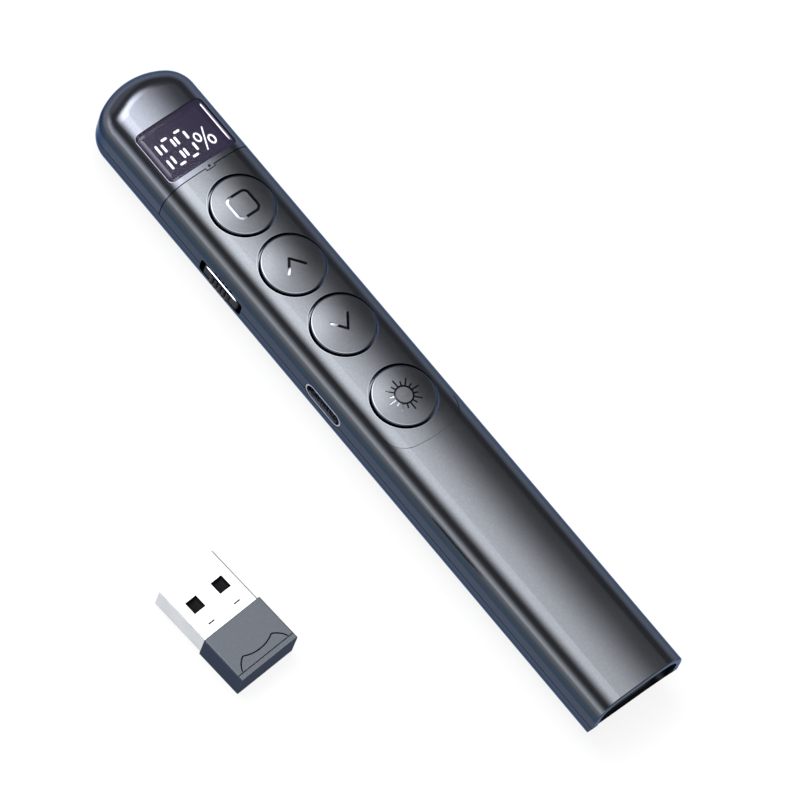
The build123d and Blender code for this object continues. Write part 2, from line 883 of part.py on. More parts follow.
with BuildPart() as main_board:
    block((-board_half_width, board_rear, board_bottom), (board_half_width, board_front, board_top))
    fillet(main_board.edges().filter_by(Axis.Z), radius=board_corner_radius)
    block(
        (-side_x, port_y - port_half - port_clearance, board_bottom),
        (port_rear_x + port_clearance, port_y + port_half + port_clearance, board_top),
        mode=Mode.SUBTRACT,
    )
    for x, y in screws:
        hole = screw_shank_diameter / 2 + screw_bore_gap
        upright_cylinder(x, y, hole, board_bottom, board_top, mode=Mode.SUBTRACT)
    with Locations((0, window_y, board_top - board_thickness / 2)):
        with GridLocations(pin_pitch, pin_row_gap, pin_count, 2):
            Cylinder(pin_diameter / 2 + slip, board_thickness, mode=Mode.SUBTRACT)

with BuildPart() as board_screws:
    for x, y in screws:
        upright_cylinder(x, y, screw_shank_diameter / 2, board_top - screw_length, board_top)
        upright_cylinder(x, y, screw_head_diameter / 2, board_top, board_top + screw_head_height)
        with Locations((x, y, board_top + screw_head_height - screw_recess_depth / 2)):
            Box(screw_recess_length, screw_recess_width, screw_recess_depth, mode=Mode.SUBTRACT)
            Box(screw_recess_width, screw_recess_length, screw_recess_depth, mode=Mode.SUBTRACT)


def surface_part(x, y, size_x, size_y, height):
    """A part soldered to the board's underside, in the part that is being built."""
    with Locations((x, y, board_bottom - height / 2)):
        Box(size_x, size_y, height)


# Chip resistors and capacitors, as length, width and height.
signal_part = (1.0, 0.5, 0.5)
supply_part = (1.6, 0.8, 0.8)
charger_part = (2.0, 1.25, 1.0)

with BuildPart() as controller_chip:
    surface_part(controller_x, key_y["screen"], controller_size, controller_size, controller_height)

with BuildPart() as radio_chip:
    surface_part(radio_x, split_y - radio_setback, radio_size, radio_size, radio_height)

with BuildPart() as crystal:
    surface_part(crystal_x, split_y - radio_setback, crystal_length, crystal_width, crystal_height)

with BuildPart() as antenna:
    surface_part(0, window_y, antenna_length, antenna_width, antenna_height)

with BuildPart() as charge_chip:
    surface_part(charger_x, port_y, charger_size, charger_size, charger_height)

with BuildPart() as board_passives:
    for step in (-1.5, -0.5, 0.5, 1.5):
        part_x = small_part_x + step * small_part_pitch
        surface_part(part_x, key_y["screen"] - small_part_setback, *signal_part)
        surface_part(part_x, key_y["next"], *supply_part)
    for side in (-1, 1):
        surface_part(charger_x, port_y + side * charger_part_pitch / 2, *charger_part)

# ---------------------------------------------------------------- charging port
port_mouth_x = -side_x + port_recess
shell_inside_length = port_opening_length - 2 * port_shell_thickness
shell_inside_height = port_opening_height - 2 * port_shell_thickness

with BuildPart() as usb_port_shell:
    with BuildSketch(Plane.YZ.offset(port_mouth_x)):
        with Locations((port_y, port_height)):
            SlotOverall(port_opening_length, port_opening_height)
            SlotOverall(shell_inside_length, shell_inside_height, mode=Mode.SUBTRACT)
    extrude(amount=port_depth)
    for side in (-1, 1):
        wing_root = port_y + side * (port_half - port_shell_thickness)
        wing_tip = port_y + side * (port_half + port_wing_length)
        rear_wing_x = port_rear_x - port_wing_inset
        for wing_x in (rear_wing_x, rear_wing_x - port_wing_pitch):
            block(
                (wing_x, min(wing_root, wing_tip), board_top),
                (wing_x + port_wing_width, max(wing_root, wing_tip), board_top + port_wing_thickness),
            )
    with BuildSketch(Plane.YZ.offset(port_mouth_x)):
        with Locations((port_y, port_height)):
            SlotOverall(shell_inside_length, shell_inside_height)
    extrude(amount=port_depth, mode=Mode.SUBTRACT)

with BuildPart() as usb_port_tongue:
    with BuildSketch(Plane.YZ.offset(port_rear_x - port_back)):
        with Locations((port_y, port_height)):
            SlotOverall(shell_inside_length - slip, shell_inside_height - slip)
    extrude(amount=port_back)
    tongue_half = port_tongue_length / 2
    block(
        (port_mouth_x + port_tongue_setback, port_y - tongue_half, port_height - port_tongue_thickness / 2),
        (port_rear_x - port_back, port_y + tongue_half, port_height + port_tongue_thickness / 2),
    )

with BuildPart() as usb_port_contacts:
    pad_x = port_mouth_x + port_tongue_setback + port_pad_setback + port_pad_length / 2
    pad_z = (port_tongue_thickness + port_pad_thickness) / 2
    with Locations((pad_x, port_y, port_height + pad_z), (pad_x, port_y, port_height - pad_z)):
        with GridLocations(1, port_pad_pitch, 1, port_pad_count):
            Box(port_pad_length, port_pad_width, port_pad_thickness)

# ---------------------------------------------------------------- slide switch
with BuildPart() as power_knob:
    with BuildSketch(Plane.YZ.offset(-side_x)):
        with Locations((slot_y, slot_centre_height)):
            RectangleRounded(knob_length, knob_height, knob_corner)
    extrude(amount=wall + knob_flange_gap)
    chamfer(power_knob.faces().sort_by(Axis.X)[0].edges(), length=knob_chamfer)
    with Locations((-side_x - rib_rise, slot_y, slot_centre_height)):
        with GridLocations(1, rib_pitch, 1, rib_count):
            Cylinder(rib_radius, knob_height - 2 * knob_chamfer)
    block(
        (knob_flange_x, slot_y - knob_flange_half, slot_centre_height - knob_flange_height / 2),
        (knob_flange_inner_x, slot_y + knob_flange_half, slot_centre_height + knob_flange_height / 2),
    )
    block(
        (
            knob_flange_x - lever_reach,
            slot_y - lever_length / 2 - slip,
            lever_height_z - lever_height / 2 - slip,
        ),
        (
            knob_flange_inner_x,
            slot_y + lever_length / 2 + slip,
            lever_height_z + lever_height / 2 + slip,
        ),
        mode=Mode.SUBTRACT,
    )

case_outer_x = knob_flange_inner_x + case_setback
with BuildPart() as power_switch_lever:
    block(
        (knob_flange_x - lever_reach + slip, slot_y - lever_length / 2, lever_height_z - lever_height / 2),
        (case_outer_x + lever_root, slot_y + lever_length / 2, lever_height_z + lever_height / 2),
    )

with BuildPart() as power_switch_case:
    block(
        (case_outer_x, slot_y - case_length / 2, board_bottom - case_height),
        (case_outer_x + case_depth, slot_y + case_length / 2, board_bottom),
    )
    lever_room = lever_length / 2 + knob_travel + lever_end_room
    block(
        (case_outer_x, slot_y - lever_room, lever_height_z - lever_height / 2 - slip),
        (case_outer_x + lever_root + sink, slot_y + lever_room, lever_height_z + lever_height / 2 + slip),
        mode=Mode.SUBTRACT,
    )

# ---------------------------------------------------------------- battery
with BuildPart() as battery_cell:
    block(
        (-battery_width / 2, battery_rear, battery_bottom),
        (battery_width / 2, battery_front, battery_top),
    )
    fillet(battery_cell.edges().filter_by(Axis.Y), radius=battery_corner)

lead_z = board_top + socket_height / 2
guard_top = lead_z + guard_rise
with BuildPart() as battery_board:
    block(
        (-guard_width / 2, battery_front, guard_top - guard_height),
        (guard_width / 2, guard_front, guard_top),
    )

socket_rear = board_rear + socket_inset
with BuildPart() as battery_socket:
    block(
        (-socket_width / 2, socket_rear, board_top),
        (socket_width / 2, socket_rear + socket_length, board_top + socket_height),
    )

with BuildPart() as battery_leads:
    for x in (-lead_spacing / 2, lead_spacing / 2):
        lengthways_cylinder(x, lead_z, lead_diameter / 2, guard_front, socket_rear)

with BuildPart() as battery_foam:
    block(
        (-foam_width / 2, battery_rear + foam_inset, battery_top),
        (foam_width / 2, battery_front - foam_inset, thickness),
    )
    add(casing_form(wall + slip), mode=Mode.INTERSECT)

# ---------------------------------------------------------------- laser
with BuildPart() as laser_barrel:
    lengthways_cylinder(0, laser_z, barrel_diameter / 2, barrel_rear, barrel_front)
    lengthways_cylinder(
        0, laser_z, barrel_bore / 2, barrel_rear, barrel_front - lens_setback, mode=Mode.SUBTRACT
    )
    lengthways_cylinder(0, laser_z, beam_diameter / 2, barrel_rear, barrel_front, mode=Mode.SUBTRACT)

with BuildPart() as laser_lens:
    lens_front = barrel_front - lens_setback
    lengthways_cylinder(0, laser_z, barrel_bore / 2 - slip, lens_front - lens_thickness, lens_front)

with BuildPart() as laser_diode:
    lengthways_cylinder(0, laser_z, diode_diameter / 2, barrel_rear, barrel_rear + diode_length)
    lengthways_cylinder(
        0, laser_z, diode_flange_diameter / 2, barrel_rear, barrel_rear + diode_flange_thickness
    )

with BuildPart() as laser_board:
    lengthways_cylinder(0, laser_z, laser_board_diameter / 2, laser_board_rear, barrel_rear)

with BuildPart() as laser_leads:
    laser_lead_z = board_top + lead_diameter / 2 + laser_lead_lift
    laser_lead_end = board_front - laser_lead_overlap
    for x in (-lead_spacing / 2, lead_spacing / 2):
        lengthways_cylinder(x, laser_lead_z, lead_diameter / 2, laser_lead_end, laser_board_rear)

with BuildPart() as laser_bezel:
    lengthways_cylinder(0, laser_z, bezel_diameter / 2, barrel_front, nose_y - bezel_recess)
    lengthways_cylinder(
        0, laser_z, beam_diameter / 2, barrel_front, nose_y - bezel_recess, mode=Mode.SUBTRACT
    )

# ---------------------------------------------------------------- tail liner with the receiver's bay
liner_bounds = casing_form(wall + liner_gap, tail_extension=wall)
cap_bay_half_width = cap_width / 2 + bay_clearance
cap_bay_half_height = cap_height / 2 + bay_clearance
plug_bay_half_width = plug_width / 2 + bay_clearance
plug_bay_half_height = plug_height / 2 + bay_clearance

with BuildPart() as tail_liner:
    block((-width, mouth_y, 0), (width, mouth_y + liner_plate, thickness))
    block(
        (-liner_half_width, mouth_y, bay_height - liner_half_height),
        (liner_half_width, liner_rear, bay_height + liner_half_height),
    )
    add(liner_bounds, mode=Mode.INTERSECT)
    block(
        (-cap_bay_half_width, mouth_y, bay_height - cap_bay_half_height),
        (cap_bay_half_width, tail_y + cap_length + bay_clearance, bay_height + cap_bay_half_height),
        mode=Mode.SUBTRACT,
    )
    block(
        (-plug_bay_half_width, mouth_y, bay_height - plug_bay_half_height),
        (plug_bay_half_width, plug_stop_y, bay_height + plug_bay_half_height),
        mode=Mode.SUBTRACT,
    )
    block(
        (-magnet_width / 2 - slip, plug_stop_y + liner_stop, bay_height - magnet_height / 2 - slip),
        (magnet_width / 2 + slip, liner_rear, bay_height + magnet_height / 2 + slip),
        mode=Mode.SUBTRACT,
    )

with BuildPart() as bay_magnet:
    block(
        (-magnet_width / 2, plug_stop_y + liner_stop, bay_height - magnet_height / 2),
        (magnet_width / 2, liner_rear - slip, bay_height + magnet_height / 2),
    )

# ---------------------------------------------------------------- receiver, lying beside the pen
yaw = math.radians(receiver_yaw)
receiver_plane = Plane(
    origin=(receiver_x, receiver_y, 0), x_dir=(math.cos(yaw), math.sin(yaw), 0), z_dir=(0, 0, 1)
)
cap_front = cap_length / 2
plug_bottom = (cap_height - plug_height) / 2
plug_top = plug_bottom + plug_height
core_half = plug_width / 2 - plug_metal - core_gap
core_bottom = plug_bottom + plug_metal + core_gap
core_top = plug_top - plug_metal - core_gap
room_half = core_half + core_gap
room_bottom = plug_bottom + plug_metal
room_top = plug_top - plug_metal
receiver_board_bottom = room_bottom + receiver_board_rise
receiver_board_top = receiver_board_bottom + receiver_board_thickness
receiver_board_rear = -cap_front + cap_wall + receiver_board_end_gap
receiver_board_front = cap_front - core_depth
contact_bottom = core_bottom + plug_tongue_thickness


def receiver_block(low, high, mode=Mode.ADD):
    """A block between two corners in the receiver's own directions, in the part that is being built."""
    with BuildSketch(receiver_plane.offset(low[2])) as outline:
        with Locations(((low[0] + high[0]) / 2, (low[1] + high[1]) / 2)):
            Rectangle(high[0] - low[0], high[1] - low[1])
    extrude(outline.sketch, amount=high[2] - low[2], mode=mode)


with BuildPart() as receiver_cap:
    receiver_block((-cap_width / 2, -cap_front, 0), (cap_width / 2, cap_front, cap_height))
    fillet(receiver_cap.edges(), radius=cap_edge_radius)
    receiver_block(
        (-room_half, -cap_front + cap_wall, room_bottom),
        (room_half, cap_front, room_top),
        mode=Mode.SUBTRACT,
    )
    # A straight line near the end, and a curved nail grip in front of it.
    with BuildSketch(receiver_plane.offset(cap_height - cap_line_depth)):
        with Locations((0, -cap_front + cap_line_setback)):
            Rectangle(cap_width, cap_line_width)
    extrude(amount=cap_height, mode=Mode.SUBTRACT)
    with BuildSketch(receiver_plane.offset(cap_height - grip_depth)):
        grip_foot = -cap_front + cap_line_setback + cap_line_width
        grip_top = grip_foot + grip_rise
        for side in (-1, 1):
            foot = (side * grip_width / 2, grip_foot)
            shoulder = (side * grip_top_width / 2, grip_top)
            with BuildLine():
                SagittaArc(foot, shoulder, -side * grip_bulge)
            trace(line_width=grip_stroke)
        with BuildLine():
            left, right = (-grip_top_width / 2, grip_top), (grip_top_width / 2, grip_top)
            ThreePointArc(left, (0, grip_top - grip_dip), right)
        trace(line_width=grip_stroke)
    extrude(amount=cap_height, mode=Mode.SUBTRACT)

with BuildPart() as receiver_plug_shell:
    receiver_block(
        (-plug_width / 2, cap_front, plug_bottom),
        (plug_width / 2, cap_front + plug_length, plug_top),
    )
    plug_axis = Axis(receiver_plane.origin, receiver_plane.y_dir)
    fillet(receiver_plug_shell.edges().filter_by(plug_axis), radius=plug_metal)
    receiver_block(
        (-plug_width / 2 + plug_metal, cap_front, plug_bottom + plug_metal),
        (plug_width / 2 - plug_metal, cap_front + plug_length, plug_top - plug_metal),
        mode=Mode.SUBTRACT,
    )
    with BuildSketch(receiver_plane):
        with Locations((0, cap_front + plug_window_setback)):
            with GridLocations(2 * plug_window_x, 1, 2, 1):
                Rectangle(plug_window, plug_window)
        with Locations((0, cap_front + plug_crimp_setback)):
            with GridLocations(2 * plug_window_x, 1, 2, 1):
                Rectangle(plug_crimp_length, plug_crimp_width)
    extrude(amount=cap_height, mode=Mode.SUBTRACT)

with BuildPart() as receiver_tongue:
    receiver_block(
        (-core_half, cap_front - core_depth, core_bottom), (core_half, cap_front + core_step, core_top)
    )
    receiver_block(
        (-core_half, cap_front, core_bottom),
        (core_half, cap_front + plug_length - plug_tongue_setback, contact_bottom),
    )

with BuildPart() as receiver_contacts:
    with BuildSketch(receiver_plane.offset(contact_bottom)):
        with Locations((0, cap_front + plug_length - contact_setback - contact_length / 2)):
            with GridLocations(contact_pitch, 1, 4, 1):
                Rectangle(contact_width, contact_length)
    extrude(amount=contact_thickness)

with BuildPart() as receiver_board:
    receiver_block(
        (-room_half + receiver_board_side_gap, receiver_board_rear, receiver_board_bottom),
        (room_half - receiver_board_side_gap, receiver_board_front, receiver_board_top),
    )

with BuildPart() as receiver_chip:
    chip_y = (receiver_board_rear + receiver_board_front) / 2
    receiver_block(
        (-receiver_chip_size / 2, chip_y - receiver_chip_size / 2, receiver_board_top),
        (receiver_chip_size / 2, chip_y + receiver_chip_size / 2, receiver_board_top + receiver_chip_height),
    )

# ---------------------------------------------------------------- one file for each piece
pieces = {
    "bottom_shell": bottom_shell,
    "top_shell": top_shell,
    "head_cover": head_cover,
    "display_window": display_window,
    "display_module": display_module,
    "display_segments": display_segments,
    "display_pins": display_pins,
    "indicator_led": indicator_led,
    "indicator_pipe": indicator_pipe,
    **keys,
    "switch_bases": switch_bases,
    "switch_covers": switch_covers,
    **domes,
    **plungers,
    "main_board": main_board,
    "board_screws": board_screws,
    "controller_chip": controller_chip,
    "radio_chip": radio_chip,
    "charge_chip": charge_chip,
    "crystal": crystal,
    "antenna": antenna,
    "board_passives": board_passives,
    "usb_port_shell": usb_port_shell,
    "usb_port_tongue": usb_port_tongue,
    "usb_port_contacts": usb_port_contacts,
    "power_knob": power_knob,
    "power_switch_lever": power_switch_lever,
    "power_switch_case": power_switch_case,
    "battery_cell": battery_cell,
    "battery_board": battery_board,
    "battery_leads": battery_leads,
    "battery_socket": battery_socket,
    "battery_foam": battery_foam,
    "laser_barrel": laser_barrel,
    "laser_lens": laser_lens,
    "laser_diode": laser_diode,
    "laser_board": laser_board,
    "laser_leads": laser_leads,
    "laser_bezel": laser_bezel,
    "tail_liner": tail_liner,
    "bay_magnet": bay_magnet,
    "receiver_cap": receiver_cap,
    "receiver_plug_shell": receiver_plug_shell,
    "receiver_tongue": receiver_tongue,
    "receiver_contacts": receiver_contacts,
    "receiver_board": receiver_board,
    "receiver_chip": receiver_chip,
}

os.makedirs("parts", exist_ok=True)
for name, piece in pieces.items():
    piece.part.label = name
    export_step(piece.part, f"parts/{name}.step")
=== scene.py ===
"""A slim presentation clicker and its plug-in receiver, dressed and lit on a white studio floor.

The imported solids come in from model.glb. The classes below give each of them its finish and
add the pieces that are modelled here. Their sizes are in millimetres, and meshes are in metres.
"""

import logging
import math
from dataclasses import dataclass
from enum import Enum
from typing import Callable, Dict, Iterable, List, Optional, Sequence, Tuple

import bmesh
import bpy
from mathutils import Matrix, Vector


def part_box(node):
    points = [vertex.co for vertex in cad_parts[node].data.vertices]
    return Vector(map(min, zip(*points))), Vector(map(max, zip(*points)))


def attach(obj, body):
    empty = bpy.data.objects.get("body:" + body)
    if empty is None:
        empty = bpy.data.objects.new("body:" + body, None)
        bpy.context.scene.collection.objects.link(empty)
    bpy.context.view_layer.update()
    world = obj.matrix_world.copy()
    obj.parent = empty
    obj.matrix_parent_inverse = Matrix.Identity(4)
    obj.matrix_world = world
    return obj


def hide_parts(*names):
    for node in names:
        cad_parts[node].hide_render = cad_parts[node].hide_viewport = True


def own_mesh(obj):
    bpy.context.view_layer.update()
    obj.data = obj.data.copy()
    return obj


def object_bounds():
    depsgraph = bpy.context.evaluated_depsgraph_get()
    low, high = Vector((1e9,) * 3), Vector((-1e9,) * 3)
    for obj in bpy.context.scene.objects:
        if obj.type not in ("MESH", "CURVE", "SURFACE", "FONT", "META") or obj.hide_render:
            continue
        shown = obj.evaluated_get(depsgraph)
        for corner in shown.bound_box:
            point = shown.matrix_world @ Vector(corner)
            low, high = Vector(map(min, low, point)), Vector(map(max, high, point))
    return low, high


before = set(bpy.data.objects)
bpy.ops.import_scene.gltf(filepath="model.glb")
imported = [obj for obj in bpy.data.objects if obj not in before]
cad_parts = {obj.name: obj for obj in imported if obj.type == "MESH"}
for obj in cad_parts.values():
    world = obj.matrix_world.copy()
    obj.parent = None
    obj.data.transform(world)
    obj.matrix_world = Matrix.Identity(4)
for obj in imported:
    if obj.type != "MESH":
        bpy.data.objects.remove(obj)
cad_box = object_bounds()

LOG = logging.getLogger("clicker")
MM = 0.001
NOISE_SPREAD = (0.3, 0.7)  # the values between which a noise mostly lies
Colour = Tuple[float, float, float, float]
Pair = Tuple[float, float]
Point = Sequence[float]
Tree = bpy.types.NodeTree
Node = bpy.types.Node
Socket = bpy.types.NodeSocket
Shape = bmesh.types.BMesh


class Axis(Enum):
    """The direction in which a metal was drawn or rolled."""

    ALONG = 1
    UPRIGHT = 2


class Ease(Enum):
    """The course of a ramp between its ends."""

    STRAIGHT = "LINEAR"
    SMOOTH = "SMOOTHSTEP"


def linear(code: str) -> Colour:
    """Turn an sRGB hex code into the linear colour that a shader takes.

    Args:
        code: six hex digits with a leading hash.

    Returns:
        Linear red, green and blue with a full fourth channel.
    """
    channels = [int(code[place:place + 2], 16) / 255 for place in (1, 3, 5)]
    curve = [c / 12.92 if c <= 0.04045 else ((c + 0.055) / 1.055) ** 2.4 for c in channels]
    return (curve[0], curve[1], curve[2], 1.0)


def per_metre(size_mm: float) -> float:
    """Return the texture scale at which one feature is as wide as the given millimetres."""
    return 1.0 / (size_mm * MM)


def add_node(
    tree: Tree,
    kind: str,
    settings: Optional[dict] = None,
    values: Optional[dict] = None,
    links: Optional[dict] = None,
) -> Node:
    """Add one node with its settings, its plain socket values and what feeds it.

    Args:
        tree: the node tree that gets the node.
        kind: the node's type name.
        settings: attributes of the node itself.
        values: socket name or number, and the value it keeps.
        links: socket name or number, and the output that feeds it.

    Returns:
        The new node.
    """
    node = tree.nodes.new(kind)
    for name, value in (settings or {}).items():
        setattr(node, name, value)
    for name, value in (values or {}).items():
        node.inputs[name].default_value = value
    for name, source in (links or {}).items():
        tree.links.new(source, node.inputs[name])
    return node


def ramped(
    tree: Tree,
    ramps: Iterable[Tuple[Socket, float, float, float, float]],
    ease: Ease = Ease.STRAIGHT,
) -> Socket:
    """Lead each measured value over its own ramp and multiply what comes out.

    One ramp gives a pattern its range. Several tell how far a place lies inside all its edges.

    Args:
        tree: the node tree.
        ramps: for each ramp what is measured, where it starts and ends, and its value before
            and after that.
        ease: the course of the ramps.

    Returns:
        The product.
    """
    product: Optional[Socket] = None
    for measured, start, end, before, after in ramps:
        value = add_node(
            tree, "ShaderNodeMapRange", {"interpolation_type": ease.value},
            {"From Min": start, "From Max": end, "To Min": before, "To Max": after},
            {"Value": measured},
        ).outputs["Result"]
        product = value if product is None else add_node(
            tree, "ShaderNodeMath", {"operation": "MULTIPLY"}, None, {0: product, 1: value},
        ).outputs["Value"]
    return product


# ---------------------------------------------------------------- finishes


@dataclass(frozen=True)
class Finish:
    """A surface, named for its material and for how it was made."""

    name: str

    def shade(self, tree: Tree, space: Node) -> Node:
        """Build the patterns and return the shader; each finish has its own."""
        raise NotImplementedError(self.name)

    def material(self) -> bpy.types.Material:
        """Give the Blender material, built on its first use.

        Returns:
            The material.
        """
        known = bpy.data.materials.get(self.name)
        if known is not None:
            return known
        made = bpy.data.materials.new(self.name)
        made.use_nodes = True
        tree = made.node_tree
        tree.nodes.clear()
        surface = self.shade(tree, add_node(tree, "ShaderNodeTexCoord")).outputs[0]
        add_node(tree, "ShaderNodeOutputMaterial", links={"Surface": surface})
        return made

    def skin(
        self,
        tree: Tree,
        values: dict,
        colours: Optional[Tuple[str, str, Socket]] = None,
        uneven: Optional[Tuple[Socket, Pair]] = None,
        relief: Optional[Tuple[Socket, float, float]] = None,
        links: Optional[dict] = None,
        spread: Pair = NOISE_SPREAD,
    ) -> Node:
        """Build the shader with the colours, the dull places and the fine relief of its patterns.

        Args:
            tree: the material's node tree.
            values: the shader's plain values.
            colours: two colours, and the pattern that leads from the first to the second.
            uneven: the pattern that the roughness follows, and its lowest and highest value.
            relief: the pattern that is raised, the strength, and the height in millimetres.
            links: what else feeds the shader.
            spread: the values between which the uneven pattern mostly lies.

        Returns:
            The shader.
        """
        fed = dict(links or {})
        if colours:
            fed["Base Color"] = add_node(
                tree, "ShaderNodeMix", {"data_type": "RGBA"},
                {6: linear(colours[0]), 7: linear(colours[1])}, {0: colours[2]},
            ).outputs[2]
        if uneven:
            fed["Roughness"] = ramped(tree, [(uneven[0], *spread, *uneven[1])])
        if relief:
            fed["Normal"] = add_node(
                tree, "ShaderNodeBump", None, {"Strength": relief[1], "Distance": relief[2] * MM},
                {"Height": relief[0]},
            ).outputs["Normal"]
        return add_node(tree, "ShaderNodeBsdfPrincipled", None, values, fed)


@dataclass(frozen=True)
class SprayedMetallic(Finish):
    """Metallic lacquer sprayed on a moulded shell: fine flakes under a satin clear layer.

    To the eye it is a dark grey metal with long soft highlights that turns slate blue where it is
    seen at a low angle, with a faint sparkle of flakes and a slight unevenness of the spray.
    """

    colour: str = "#595b5e"
    flake_colour: str = "#616468"
    edge_tint: str = "#7f95b9"
    roughness: Pair = (0.15, 0.19)
    flake_mm: float = 0.2  # real flakes are about 0.03 mm, drawn coarser so that they show
    spray_mm: float = 24.0
    peel_mm: float = 1.6
    peel_height_mm: float = 0.02
    peel_depth: float = 0.02
    clear_coat: float = 0.15
    recess_under_mm: float = 0.0
    recess_edge_mm: float = 0.001
    # painted shade: the dark colour of the floors of engraved lines
    recess_shade_colour: str = ""
    # painted reflection: the lighter slate grey of upright sides
    side_reflection_colour: str = ""
    # painted shade: the navy slate of the flanks where a shell turns down
    flank_shade_colour: str = ""
    sparkle_from: float = 0.35
    sparkle_most: float = 0.5
    # a face leans by 1 where it looks up and by 0 where it is upright
    recess_lean: Pair = (0.7, 0.701)
    side_lean: Pair = (0.45, 0.8)
    turn_foot_lean: Pair = (0.0, 0.12)
    turn_head_lean: Pair = (0.34, 0.5)

    def shade(self, tree: Tree, space: Node) -> Node:
        """Build the flake sparkle, the spray's unevenness and the orange peel.

        Args:
            tree: the material's node tree.
            space: the texture coordinates.

        Returns:
            The shader.
        """
        place = space.outputs["Object"]
        flakes = add_node(
            tree, "ShaderNodeTexVoronoi", {"feature": "F1"},
            {"Scale": per_metre(self.flake_mm)}, {"Vector": place},
        )
        sparkle = ramped(
            tree, [(flakes.outputs["Color"], self.sparkle_from, 1.0, 0.0, self.sparkle_most)])
        spray = add_node(
            tree, "ShaderNodeTexNoise", None,
            {"Scale": per_metre(self.spray_mm), "Detail": 3.0, "Roughness": 0.5}, {"Vector": place},
        )
        peel = add_node(
            tree, "ShaderNodeTexNoise", None,
            {"Scale": per_metre(self.peel_mm), "Detail": 2.0}, {"Vector": place},
        )
        colour = add_node(
            tree, "ShaderNodeMix", {"data_type": "RGBA"},
            {6: linear(self.colour), 7: linear(self.flake_colour)}, {0: sparkle},
        ).outputs[2]
        return self.skin(
            tree,
            {"Metallic": 1.0, "Specular Tint": linear(self.edge_tint),
             "Coat Weight": self.clear_coat, "Coat Roughness": 0.12, "Coat IOR": 1.5},
            uneven=(spray.outputs["Fac"], self.roughness),
            relief=(peel.outputs["Fac"], self.peel_depth, self.peel_height_mm),
            links={"Base Color": self.tint(tree, space, colour)},
        )

    def tint(self, tree: Tree, space: Node, colour: Socket) -> Socket:
        """Paint light and shade into the colour of the lacquer, apart from its open faces.

        The floors of engraved lines are darkened, a painted shade. Upright sides get a lighter slate
        grey, a painted reflection. Where a shell turns down, its flanks are darkened to a navy slate,
        a painted shade.

        Args:
            tree: the material's node tree.
            space: the texture coordinates.
            colour: the colour of the open faces.

        Returns:
            The colour with these places.
        """
        floor, into, out_of = self.recess_under_mm * MM, (0.0, 1.0), (1.0, 0.0)
        # each layer paints light into the colour: shade on groove floors, a reflection on upright
        # sides and shade on the turned-down flanks
        layers = (
            (self.recess_shade_colour, (
                ("Object", (floor, floor + self.recess_edge_mm * MM), out_of),
                ("Normal", self.recess_lean, into))),
            (self.side_reflection_colour, (("Normal", self.side_lean, out_of),)),
            (self.flank_shade_colour, (
                ("Normal", self.turn_foot_lean, into), ("Normal", self.turn_head_lean, out_of))),
        )
        for tint, edges in layers:
            if tint:
                share = ramped(tree, [
                    (add_node(
                        tree, "ShaderNodeSeparateXYZ", None, None, {0: space.outputs[kind]},
                    ).outputs["Z"], *edge, *values)
                    for kind, edge, values in edges
                ])
                colour = add_node(
                    tree, "ShaderNodeMix", {"data_type": "RGBA"}, {7: linear(tint)},
                    {0: share, 6: colour},
                ).outputs[2]
        return colour


@dataclass(frozen=True)
class MouldedPlastic(Finish):
    """ABS or nylon out of a steel mould: fine spark-eroded grain and a soft, even sheen."""

    colour: str
    worn_colour: str
    roughness: Pair
    ior: float = 1.53
    shine: float = 0.5
    grain_mm: float = 0.18  # real grain is about 0.05 mm, drawn coarser so that it shows
    grain_height_mm: float = 0.01
    grain_depth: float = 0.25
    cloud_mm: float = 6.0

    def shade(self, tree: Tree, space: Node) -> Node:
        """Build the mould's grain and the slight difference of colour between its parts.

        Args:
            tree: the material's node tree.
            space: the texture coordinates.

        Returns:
            The shader.
        """
        grain, cloud = [
            add_node(
                tree, "ShaderNodeTexNoise", None, {"Scale": per_metre(size), "Detail": detail},
                {"Vector": space.outputs["Object"]},
            ).outputs["Fac"]
            for size, detail in ((self.grain_mm, 2.0), (self.cloud_mm, 3.0))
        ]
        return self.skin(
            tree, {"IOR": self.ior, "Specular IOR Level": self.shine},
            colours=(self.colour, self.worn_colour, cloud),
            uneven=(cloud, self.roughness),
            relief=(grain, self.grain_depth, self.grain_height_mm),
        )


@dataclass(frozen=True)
class DrawnMetal(Finish):
    """Sheet, wire or tube metal, plated after it was drawn or rolled.

    To the eye it is a clear metal with fine streaks along the way it was worked and small dull
    patches where fingers and tools have been.
    """

    colour: str
    dull_colour: str
    roughness: Pair
    streak_mm: float = 0.12  # real streaks are about 0.02 mm, drawn coarser so that they show
    streak_length: float = 30.0  # times its width
    drawn: Axis = Axis.ALONG
    streak_depth: float = 0.12
    streak_height_mm: float = 0.01
    patch_mm: float = 3.5

    def shade(self, tree: Tree, space: Node) -> Node:
        """Build the streaks, stretched along the working direction, and the patches.

        Args:
            tree: the material's node tree.
            space: the texture coordinates.

        Returns:
            The shader.
        """
        place = space.outputs["Object"]
        stretch = [per_metre(self.streak_mm)] * 3
        stretch[self.drawn.value] /= self.streak_length
        laid = add_node(
            tree, "ShaderNodeMapping", None, {"Scale": tuple(stretch)}, {"Vector": place},
        )
        streaks = add_node(
            tree, "ShaderNodeTexNoise", None, {"Scale": 1.0, "Detail": 2.0},
            {"Vector": laid.outputs["Vector"]},
        )
        patches = add_node(
            tree, "ShaderNodeTexNoise", None,
            {"Scale": per_metre(self.patch_mm), "Detail": 3.0}, {"Vector": place},
        ).outputs["Fac"]
        return self.skin(
            tree, {"Metallic": 1.0},
            colours=(self.colour, self.dull_colour, patches),
            uneven=(patches, self.roughness),
            relief=(streaks.outputs["Fac"], self.streak_depth, self.streak_height_mm),
        )


